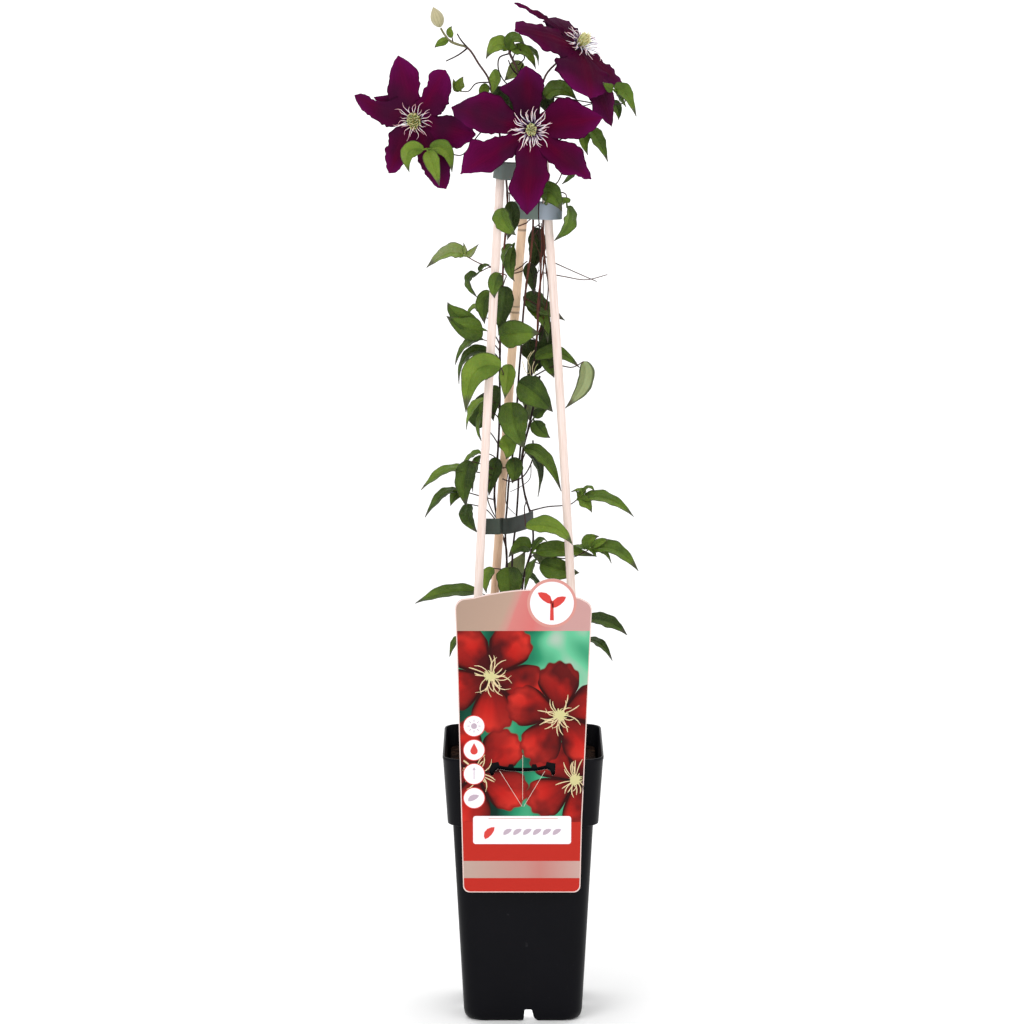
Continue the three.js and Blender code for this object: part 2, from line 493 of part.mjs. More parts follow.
function makePot() {
  const outside = [
    squareRing(BODY_FOOT_WIDTH - 7, 15, 0),
    squareRing(BODY_FOOT_WIDTH - 2, 14, 2.5),
    squareRing(BODY_FOOT_WIDTH + 0.4, 12, 8),
    squareRing(BODY_TOP_WIDTH, 11, collarFootZ - 1),
    squareRing(COLLAR_FOOT_WIDTH, 12, collarFootZ),
    squareRing(RIM_WIDTH - 0.6, 14, POT_HEIGHT - 2),
    squareRing(RIM_WIDTH, 14, POT_HEIGHT),
  ];
  const inside = [
    squareRing(RIM_WIDTH - 2 * POT_WALL, 12.4, POT_HEIGHT),
    squareRing(COLLAR_FOOT_WIDTH - 2 * POT_WALL, 10.6, collarFootZ + 1.5),
    squareRing(BODY_TOP_WIDTH - 2 * POT_WALL, 9.4, collarFootZ),
    squareRing(BODY_FOOT_WIDTH - 2 * POT_WALL, 8.4, POT_FLOOR),
  ];
  const shell = solid(loft([...outside, ...inside]));
  const notch = new THREE.Shape();
  notch.moveTo(NOTCH_OFFSET - NOTCH_WIDTH / 2, -1);
  notch.lineTo(NOTCH_OFFSET + NOTCH_WIDTH, -1);
  notch.lineTo(NOTCH_OFFSET + NOTCH_WIDTH / 2, 4);
  notch.lineTo(NOTCH_OFFSET + NOTCH_WIDTH / 3, NOTCH_HEIGHT);
  notch.lineTo(NOTCH_OFFSET - NOTCH_WIDTH / 3, NOTCH_HEIGHT);
  notch.closePath();
  const cutter = new THREE.ExtrudeGeometry(notch, { depth: 7, bevelEnabled: false });
  cutter.rotateX(Math.PI / 2);
  cutter.translate(0, -BODY_FOOT_WIDTH / 2 + 4, 0);
  let pot = shell;
  for (let side = 0; side < 4; side += 1) {
    pot = pot.subtract(solid(cutter.clone().rotateZ(side * Math.PI / 2)));
  }
  return pot;
}

// Cane line carried down to its foot inside the soil.
function caneEnds({ low, top }) {
  const head = vec(top);
  const along = vec(low).sub(head);
  const foot = head.clone().addScaledVector(along, (CANE_FOOT_Z - head.z) / along.z);
  return [foot, head];
}

function makeSoil() {
  const clear = 2 * (POT_WALL + GAP + 0.1);
  const flare = (RIM_WIDTH - COLLAR_FOOT_WIDTH) / COLLAR_HEIGHT;
  const edgeZ = soilTopZ - 5;
  const edgeWidth = COLLAR_FOOT_WIDTH + flare * (edgeZ - collarFootZ - 2) - clear;
  const bumps = [0.6, -0.8, 0.3, 1.1, -0.5, 0.4, -1];
  const topRing = (width, z) => squareRing(width, Math.min(12, width / 4), z, 2)
    .map((p, i) => p.setZ(z + bumps[(i * 3) % 7]));
  const body = loft([
    squareRing(BODY_FOOT_WIDTH - clear, 8, POT_FLOOR + GAP, 2),
    squareRing(BODY_TOP_WIDTH - clear, 9, collarFootZ + 0.2, 2),
    squareRing(COLLAR_FOOT_WIDTH - clear, 10, collarFootZ + 2.2, 2),
    squareRing(edgeWidth, 11, edgeZ, 2),
    topRing(COLLAR_FOOT_WIDTH - 2, soilTopZ - 3),
    topRing(80, soilTopZ),
    topRing(40, soilTopZ + 2),
  ]);
  let soil = solid(body);
  Object.values(CANES).forEach((cane) => {
    const [foot, head] = caneEnds(cane);
    const along = head.clone().sub(foot).normalize();
    const hole = rod(foot.clone().addScaledVector(along, -GAP),
      foot.clone().addScaledVector(along, 70), cane.radius + GAP + 0.1, 9);
    soil = soil.subtract(solid(hole));
  });
  Object.values(STEMS).forEach(([foot]) => {
    const low = vec(foot).add(new THREE.Vector3(0, 0, -GAP));
    const hole = rod(low, low.clone().setZ(soilTopZ + 8), STEM_RADIUS + 0.7, 6);
    soil = soil.subtract(solid(hole));
  });
  return soil;
}

function makeBamboo() {
  const [foot, head] = caneEnds(CANES.bamboo);
  const length = foot.distanceTo(head);
  const r = BAMBOO_RADIUS;
  const knots = [118, 418];
  const profile = [[0, 0], [r, 0]];
  knots.forEach((at) => {
    profile.push([r, at - 4], [r + 0.35, at - 2], [r - 0.1, at], [r + 0.3, at + 2], [r, at + 4]);
  });
  profile.push([r, length], [0, length]);
  const geometry = new THREE.LatheGeometry(profile.map(([x, y]) => new THREE.Vector2(x, y)), 8);
  const along = head.clone().sub(foot).normalize();
  geometry.applyQuaternion(
    new THREE.Quaternion().setFromUnitVectors(new THREE.Vector3(0, 1, 0), along));
  return solid(geometry.translate(foot.x, foot.y, foot.z));
}

// ---------------------------------------------------------------- straps and label
function makeStrap({ z, tilt, closed, line }) {
  const curve = new THREE.CatmullRomCurve3(
    line.map(([x, y]) => vec([x, y, 0])), closed, 'centripetal');
  const all = curve.getPoints(Math.round(line.length * 1.6));
  const plan = closed ? all.slice(0, -1) : all;
  const inner = plan.map((p, i) => {
    const next = plan[i + 1] ?? (closed ? plan[0] : p);
    const last = plan[i - 1] ?? (closed ? plan.at(-1) : p);
    const ahead = next.clone().sub(last).normalize();
    return new THREE.Vector2(p.x - ahead.y * STRAP_THICKNESS, p.y + ahead.x * STRAP_THICKNESS);
  });
  const outer = plan.map((p) => new THREE.Vector2(p.x, p.y));
  const shape = new THREE.Shape(closed ? outer : [...outer, ...inner.reverse()]);
  if (closed) {
    shape.holes.push(new THREE.Path(inner));
  }
  const geometry = new THREE.ExtrudeGeometry(shape, { depth: STRAP_HEIGHT, bevelEnabled: false });
  geometry.translate(0, 0, -STRAP_HEIGHT / 2);
  geometry.rotateY(-THREE.MathUtils.degToRad(tilt));
  return solid(geometry.translate(0, 0, z));
}

function makeLabel() {
  const outline = new THREE.Shape();
  const r = 5;
  const { x, z, radius } = LABEL_BADGE;
  outline.moveTo(-49 + r, LABEL_FOOT_Z);
  outline.lineTo(46.5 - r, LABEL_FOOT_Z);
  outline.quadraticCurveTo(46.5, LABEL_FOOT_Z, 46.6, LABEL_FOOT_Z + r);
  outline.lineTo(51.3, 258);
  outline.lineTo(55.2, LABEL_SHOULDER_Z - 2);
  outline.quadraticCurveTo(55, LABEL_SHOULDER_Z + 4, 46, LABEL_SHOULDER_Z + 9);
  outline.absarc(x, z, radius, 0.38, Math.PI - 0.55, false);
  outline.quadraticCurveTo(-20, LABEL_SHOULDER_Z + 12, -42, LABEL_SHOULDER_Z + 8);
  outline.quadraticCurveTo(-54.8, LABEL_SHOULDER_Z + 4, -54.8, LABEL_SHOULDER_Z - 4);
  outline.lineTo(-52.4, 270);
  outline.lineTo(-49, LABEL_FOOT_Z + r);
  outline.quadraticCurveTo(-48.9, LABEL_FOOT_Z, -49 + r, LABEL_FOOT_Z);
  const slot = new THREE.Path();
  slot.moveTo(-27, 212.5);
  slot.lineTo(-24.5, 212.5);
  slot.lineTo(-21, 217.5);
  slot.lineTo(20, 217.5);
  slot.lineTo(23.5, 212.5);
  slot.lineTo(26, 212.5);
  slot.lineTo(26, 220);
  slot.lineTo(22, 222.8);
  slot.lineTo(-23, 222.8);
  slot.lineTo(-27, 220);
  slot.closePath();
  outline.holes.push(slot);
  const card = new THREE.ExtrudeGeometry(outline,
    { depth: LABEL_THICKNESS, bevelEnabled: false, curveSegments: 6 });
  card.rotateX(Math.PI / 2);
  card.translate(0, LABEL_Y + LABEL_THICKNESS, 0);
  // Tongue folded back over the rim, down inside the wall.
  const back = LABEL_Y + LABEL_THICKNESS;
  const insideWall = -RIM_WIDTH / 2 + POT_WALL + GAP + 0.1;
  const tuck = 11;
  const slant = (tuck * (RIM_WIDTH - COLLAR_FOOT_WIDTH)) / COLLAR_HEIGHT / 2;
  const hook = new THREE.Shape();
  hook.moveTo(back - 0.4, POT_HEIGHT + GAP);
  hook.lineTo(insideWall, POT_HEIGHT + GAP);
  hook.lineTo(insideWall + slant, POT_HEIGHT - tuck);
  hook.lineTo(insideWall + slant + 0.9, POT_HEIGHT - tuck);
  hook.lineTo(insideWall + 0.9, POT_HEIGHT + GAP + 0.9);
  hook.lineTo(back - 0.4, POT_HEIGHT + GAP + 0.9);
  hook.closePath();
  const tongue = new THREE.ExtrudeGeometry(hook, { depth: 40, bevelEnabled: false });
  tongue.rotateX(Math.PI / 2);
  tongue.rotateZ(Math.PI / 2);
  tongue.translate(-20, 0, 0);
  return fuse([solid(card), solid(tongue)]);
}

// ---------------------------------------------------------------- stems and leaves
// Point of a stem's line at a height: its middle stretch rises all the way.
function stemPointAt(points, z) {
  for (let i = points.length - 1; i > 0; i -= 1) {
    const [low, high] = [points[i - 1], points[i]];
    if (low[2] <= z && z <= high[2]) {
      const t = (z - low[2]) / (high[2] - low[2]);
      return low.map((value, axis) => value + t * (high[axis] - value));
    }
  }
  return points.at(-1);
}

const LEAF_STATIONS = [0, 0.13, 0.38, 0.72, 1];
const LEAFLET_STATIONS = [0, 0.4, 1];
const LEAFLET_WIDTH = 15.5;
const WIDEST = 0.38;
const LEAF_ROLL = 0.24;

// Half width of a leaf along its length, as a share of its greatest: round base, drawn-out tip.
function leafSpread(t) {
  if (t < WIDEST) {
    return Math.sqrt(1 - (1 - t / WIDEST) ** 2);
  }
  return (1 - ((t - WIDEST) / (1 - WIDEST)) ** 1.6) ** 1.1;
}

// Sections of one leaflet from its hub to its tip, both edges turned up a little.
function leafletFrames(hub, [middle, tip, width, facing], phase) {
  const stations = width < LEAFLET_WIDTH ? LEAFLET_STATIONS : LEAF_STATIONS;
  return stations.map((t, i) => {
    const frame = archFrame(vec(hub), vec(middle), vec(tip), vec(FACING[facing]).normalize(), t);
    const half = Math.max(width / 2 * leafSpread(t), PETIOLE_RADIUS * (1 - t) + 0.4 * t);
    const wave = 0.06 * half * ((i + phase) % 2 ? 1 : -1);
    const roll = i ? LEAF_ROLL * half : 0;
    return { frame, ring: lensRing(frame, half, [roll + wave, roll - wave], BLADE_THICKNESS) };
  });
}

// A leaf: its stalk runs on into the first leaflet where it arrives along it, and into the
// hub where the leaflet turns away; the other leaflets start in the hub.
const STRAIGHT_ON = 0.2;
function leafParts(start, bends, hub, leaflets, phase) {
  const blades = leaflets.map((row, i) => leafletFrames(hub, row, phase + i));
  const line = new THREE.CatmullRomCurve3([start, ...bends, hub].map(vec), false, 'centripetal');
  const steps = bends.length + (bends.length > 1 ? 1 : 2);
  let { ahead } = blades[0][0].frame;
  const across = blades[0][0].frame.across.clone();
  const runsOn = ahead.dot(line.getTangent(1)) > STRAIGHT_ON;
  const stalk = [];
  for (let i = runsOn ? steps - 1 : steps; i >= 0; i -= 1) {
    const along = line.getTangent(i / steps);
    across.applyQuaternion(new THREE.Quaternion().setFromUnitVectors(ahead, along));
    ahead = along;
    const up = new THREE.Vector3().crossVectors(along, across);
    const frame = { here: line.getPoint(i / steps), across, up };
    stalk.unshift(lensRing(frame, PETIOLE_RADIUS, [0, 0], 2 * PETIOLE_RADIUS));
  }
  const lofts = blades.map((frames) => frames.map(({ ring }) => ring));
  if (runsOn) {
    lofts[0].unshift(...stalk);
  } else {
    lofts.push(stalk);
  }
  return lofts.map((rings) => loft(rings, 2));
}

function makeStem(name) {
  const points = STEMS[name];
  const parts = [solid(bar(points, STEM_RADIUS, 4, points.length))];
  LEAVES[name].forEach(([z, bends, hub, leaflets], index) => {
    const leaf = leafParts(stemPointAt(points, z), bends, hub, leaflets, index);
    parts.push(...leaf.map(solid));
  });
  (SHOOTS[name] ?? []).forEach(([radius, line]) => {
    parts.push(solid(bar(line, radius, 3, line.length + 1)));
  });
  Object.values(BLOOMS).filter((bloom) => bloom.stem === name).forEach((bloom) => {
    const back = backOfBloom(bloom, 1 + 2 * GAP).toArray();
    const line = [stemPointAt(points, bloom.stalkZ), ...bloom.stalk, back];
    parts.push(solid(bar(line, STEM_RADIUS - 0.1, 4, line.length + 2)));
  });
  return fuse(parts);
}

// ---------------------------------------------------------------- blooms and bud
function backOfBloom({ centre, faces }, depth) {
  return vec(centre).addScaledVector(vec(faces).normalize(), -depth);
}

// Turns a shape that rises along +Z so that it rises along the bloom's face, at its centre.
function ontoBloom(geometry, { centre, faces }, lift) {
  const facing = vec(faces).normalize();
  geometry.applyQuaternion(
    new THREE.Quaternion().setFromUnitVectors(new THREE.Vector3(0, 0, 1), facing));
  const place = vec(centre).addScaledVector(facing, lift);
  return geometry.translate(place.x, place.y, place.z);
}

const TEPAL_THICKNESS = 0.9;
function makeTepals(bloom) {
  const facing = vec(bloom.faces).normalize();
  const centre = vec(bloom.centre);
  const disc = new THREE.CylinderGeometry(6, 6, 2, 8).rotateX(Math.PI / 2);
  const parts = [solid(ontoBloom(disc, bloom, 0))];
  bloom.tepals.forEach(([tip, bow, lefts, rights], index) => {
    const end = vec(tip);
    const middle = centre.clone().add(end).multiplyScalar(0.5).addScaledVector(facing, bow);
    const layer = (index % 2 ? 0.35 : -0.35);
    const section = (t, left, right, lifts) => plateRing(
      archFrame(centre, middle, end, facing, t), left, right, lifts, TEPAL_THICKNESS);
    const rings = [section(0.03, 3.5, 3.5, [layer, 0.4, layer])];
    TEPAL_STATIONS.forEach((t, i) => {
      const wave = 1.1 * Math.sin(i * 2.4 + index * 1.7) * Math.min(1, i / 2);
      const droop = -0.05 * (lefts[i] + rights[i]) / 2 + layer;
      rings.push(section(t, lefts[i], rights[i], [droop + wave, 0.4, droop - 0.8 * wave]));
    });
    rings.push(section(1, 0.6, 0.6, [0, 0.2, 0]));
    parts.push(solid(loft(rings, 3)));
  });
  return fuse(parts);
}

const STAMEN_BASE = { lift: 2.9, height: 1.2, radius: 5.4 };
function makeStamens(bloom) {
  const base = new THREE.CylinderGeometry(STAMEN_BASE.radius, STAMEN_BASE.radius,
    STAMEN_BASE.height, 10).rotateX(Math.PI / 2);
  const parts = [solid(ontoBloom(base, bloom, STAMEN_BASE.lift + STAMEN_BASE.height / 2))];
  for (let i = 0; i < STAMENS_PER_BLOOM; i += 1) {
    const turn = (i / STAMENS_PER_BLOOM) * 2 * Math.PI;
    const reach = bloom.stamenReach * (0.82 + 0.18 * Math.sin(i * 2.6));
    const swing = 0.12 * Math.sin(i * 1.9);
    const rise = 5 + 2.2 * Math.sin(i * 3.7);
    const at = (radius, height, extra) => [
      radius * Math.cos(turn + extra), radius * Math.sin(turn + extra), height];
    const bend = 5.2 + 0.42 * (reach - 5.2);
    const line = [at(4.9, 0, 0), at(bend, rise, 0), at(reach, rise * 0.8, swing)];
    parts.push(solid(ontoBloom(bar(line, 0.7, 3, 2), bloom, STAMEN_BASE.lift + 0.6)));
  }
  return fuse(parts);
}

function makeBoss(bloom) {
  const [radius, height] = bloom.boss;
  const profile = [[0, 0], [0.62, 0], [0.95, 0.3], [1, 0.55], [0.75, 0.85], [0, 0.8]];
  const geometry = new THREE.LatheGeometry(
    profile.map(([x, y]) => new THREE.Vector2(x * Math.min(radius, 3.6), y * height * 1.6)), 9);
  geometry.rotateX(Math.PI / 2);
  return solid(ontoBloom(geometry, bloom, STAMEN_BASE.lift + STAMEN_BASE.height + GAP));
}

function makeBud() {
  const foot = vec(BUD.foot);
  const tip = vec(BUD.tip);
  const length = foot.distanceTo(tip);
  const profile = [[0, 0], [0.45, 0.02], [0.9, 0.22], [1, 0.42], [0.72, 0.74], [0.25, 0.95], [0, 1]];
  const geometry = new THREE.LatheGeometry(
    profile.map(([x, y]) => new THREE.Vector2(x * BUD.radius, y * length)), 9);
  geometry.applyQuaternion(new THREE.Quaternion().setFromUnitVectors(
    new THREE.Vector3(0, 1, 0), tip.clone().sub(foot).normalize()));
  return solid(geometry.translate(foot.x, foot.y, foot.z));
}

// ---------------------------------------------------------------- assembly
const group = new THREE.Group();
const addPiece = (name, body, look) => group.add(toMesh(name, body, look));

addPiece('pot', makePot(), potPlastic);
addPiece('soil', makeSoil(), pottingMix);
addPiece('cane_left', solid(rod(...caneEnds(CANES.left), DOWEL_RADIUS)), paleWood);
addPiece('cane_right', solid(rod(...caneEnds(CANES.right), DOWEL_RADIUS)), paleWood);
addPiece('cane_bamboo', makeBamboo(), bambooWood);
Object.entries(STRAPS).forEach(([name, strap]) => {
  addPiece(`strap_${name}`, makeStrap(strap), strapPlastic);
});
addPiece('label', makeLabel(), printedCard);
Object.keys(STEMS).forEach((name) => addPiece(`stem_${name}`, makeStem(name), leafGreen));
Object.entries(BLOOMS).forEach(([name, bloom]) => {
  addPiece(`bloom_${name}_tepals`, makeTepals(bloom), tepalPurple);
  addPiece(`bloom_${name}_stamens`, makeStamens(bloom), filamentPink);
  addPiece(`bloom_${name}_boss`, makeBoss(bloom), bossGreen);
});
addPiece('bud', makeBud(), budBeige);

export default group;
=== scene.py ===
"""Clematis in flower, tied to a three-cane trellis in a square climber pot: the looks.

Tables are in millimetres in the frame of the solids, +Z up and the front towards -Y.
"""

import math
import random
from functools import partial

import bmesh
import bpy
from mathutils import Matrix, Quaternion, Vector, noise


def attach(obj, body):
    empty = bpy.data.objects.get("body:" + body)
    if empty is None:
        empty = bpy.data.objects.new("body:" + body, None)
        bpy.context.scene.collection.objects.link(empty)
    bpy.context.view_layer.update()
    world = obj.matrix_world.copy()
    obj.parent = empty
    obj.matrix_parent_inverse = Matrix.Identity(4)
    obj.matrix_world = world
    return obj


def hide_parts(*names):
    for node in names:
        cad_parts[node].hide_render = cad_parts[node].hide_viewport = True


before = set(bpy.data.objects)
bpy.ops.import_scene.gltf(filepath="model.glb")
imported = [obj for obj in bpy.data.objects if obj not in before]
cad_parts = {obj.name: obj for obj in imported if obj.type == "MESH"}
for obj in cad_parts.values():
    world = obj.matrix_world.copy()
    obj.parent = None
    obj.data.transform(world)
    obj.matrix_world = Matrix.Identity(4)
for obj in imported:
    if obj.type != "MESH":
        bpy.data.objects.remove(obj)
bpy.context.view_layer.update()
MM = 0.001

# ------------------------------------------------------------------ routes and places
# Pot, from foot to rim.
POT_HEIGHT = 225
RIM_WIDTH = 131
COLLAR_FOOT_WIDTH = 123
COLLAR_HEIGHT = 57
BODY_TOP_WIDTH = 114.5
BODY_FOOT_WIDTH = 97
POT_WALL = 1.8
NOTCH_HEIGHT = 10.2
NOTCH_OFFSET = 4.5
SOIL_DEPTH_BELOW_RIM = 14
# Canes, straps, label and stems.
CANE_FOOT_Z = 165
DOWEL_RADIUS = 3.5
BAMBOO_RADIUS = 3.6
STRAP_HEIGHT = 13
STRAP_THICKNESS = 1.2
LABEL_Y = -67
LABEL_THICKNESS = 0.8
LABEL_BADGE = {"x": 23, "z": 354, "radius": 20}
STEM_RADIUS = 1.1
PETIOLE_RADIUS = 0.75
# Points on the axis of each cane.
CANES = {
    "left": {"low": [-41.6, -40, 231], "top": [-17.8, -20, 702], "radius": DOWEL_RADIUS},
    "right": {"low": [45.1, -20, 226], "top": [16.7, 0, 706.5], "radius": DOWEL_RADIUS},
    "bamboo": {"low": [-30.7, 35, 213.5], "top": [3.9, 10, 703], "radius": BAMBOO_RADIUS},
}
# Plan line of each strap, its height and its tilt in degrees.
STRAPS = {
    "lower": {
        "z": 409.5,
        "tilt": 3.5,
        "closed": False,
        "line": [
            [-36.4, -26.4], [-32.6, -28], [-29, -27.6], [-18.9, -27.4], [-17.6, -24.6],
            [-16.2, -26.6], [-11, -24.4], [-4, -15.5], [3, -3.5], [8.6, 8],
        ],
    },
    "middle": {
        "z": 663,
        "tilt": 0,
        "closed": True,
        "line": [
            [-6.4, 3], [2, -2.4], [13, -7], [22, -8.2], [29.5, -5.6], [31.6, 0.5], [26, 8],
            [13, 14.5], [3, 18.6], [-5.4, 16.4], [-8.4, 9.5],
        ],
    },
    "upper": {
        "z": 694,
        "tilt": -10,
        "closed": True,
        "line": [
            [-24, -20.4], [-22, -24.8], [-17, -25.8], [-12, -21.5], [0, -5.5], [8.8, 6.6],
            [8.6, 13.4], [3.4, 16.2], [-2.4, 13.6], [-12, 0], [-21.6, -14],
        ],
    },
}
# Points that each stem runs through.
STEMS = {
    "centre": [
        [-6, 6, 188], [-6, 6, 212], [-8, 8, 262], [-11.5, 10, 333], [-13, 12, 368.5],
        [-14.5, 17.5, 398.5], [-13, 16, 419.5], [-11.5, 12, 441], [-8, 6, 467], [-5.5, 4, 496],
        [-3.5, 4, 529], [-1.5, 4, 553.5], [0, 4, 578], [2.5, 2, 602.5], [6.5, 0, 631.5], [8, -1, 654],
        [8, -3, 680], [5.5, -3, 704.5], [2, 2, 736], [-3.5, 4, 772], [-11.5, 4, 790.5],
    ],
    "right": [
        [4, 6, 188], [4, 6, 212], [-2, 5, 264], [-8, 4, 334.5], [-9, 6, 370], [-8, 12, 387],
        [-6, 16, 403], [-4, 16, 432], [-3.5, 14, 449], [-1.5, 10, 474.5], [3, 8, 508], [9, 8, 540.5],
        [12, 7, 569.5], [13.5, 6, 594], [14.5, 5, 622.5], [16, 5, 648.5], [16, 6.5, 679.5],
        [13.5, 7.5, 711.5], [12.5, 6, 739.5], [14.5, 4, 760], [18.5, 4, 772.5], [28, 4, 782.5],
        [37.5, 3, 789],
    ],
    "left": [
        [-16, 8, 188], [-16, 8, 212], [-18, 12, 268], [-17, 16, 332], [-14, 23, 362.5],
        [-13.8, 31, 381], [-20.5, 32.5, 402], [-23.5, 28, 423.5], [-21.5, 22, 452],
        [-20, 16, 473.5], [-19, 10, 503.5],
        [-19, 8, 532.5], [-18.5, 6, 565.5], [-17, 4, 598.5], [-15.5, 2, 631], [-13, 2, 659.5],
        [-13, 3, 679.5], [-17, 6, 711.5], [-22.5, 8, 743.5], [-27.5, 6, 768], [-35.5, 4, 780.5],
        [-44.5, 4, 793.5], [-53, 3, 796.5], [-58.5, 2, 799], [-63.5, 1, 805], [-66, 0, 809.5],
    ],
    "low": [
        [14, 0, 188], [14, 0, 212], [5, -1, 268], [-1.5, 0, 335], [1, 4, 363.5], [8, 8, 388],
        [7, 14, 409], [1.5, 14, 428.5], [-1, 8, 448.5], [0, 4, 467.5], [5, 2, 488], [9.5, 0, 509],
        [13.5, -1, 529],
    ],
}
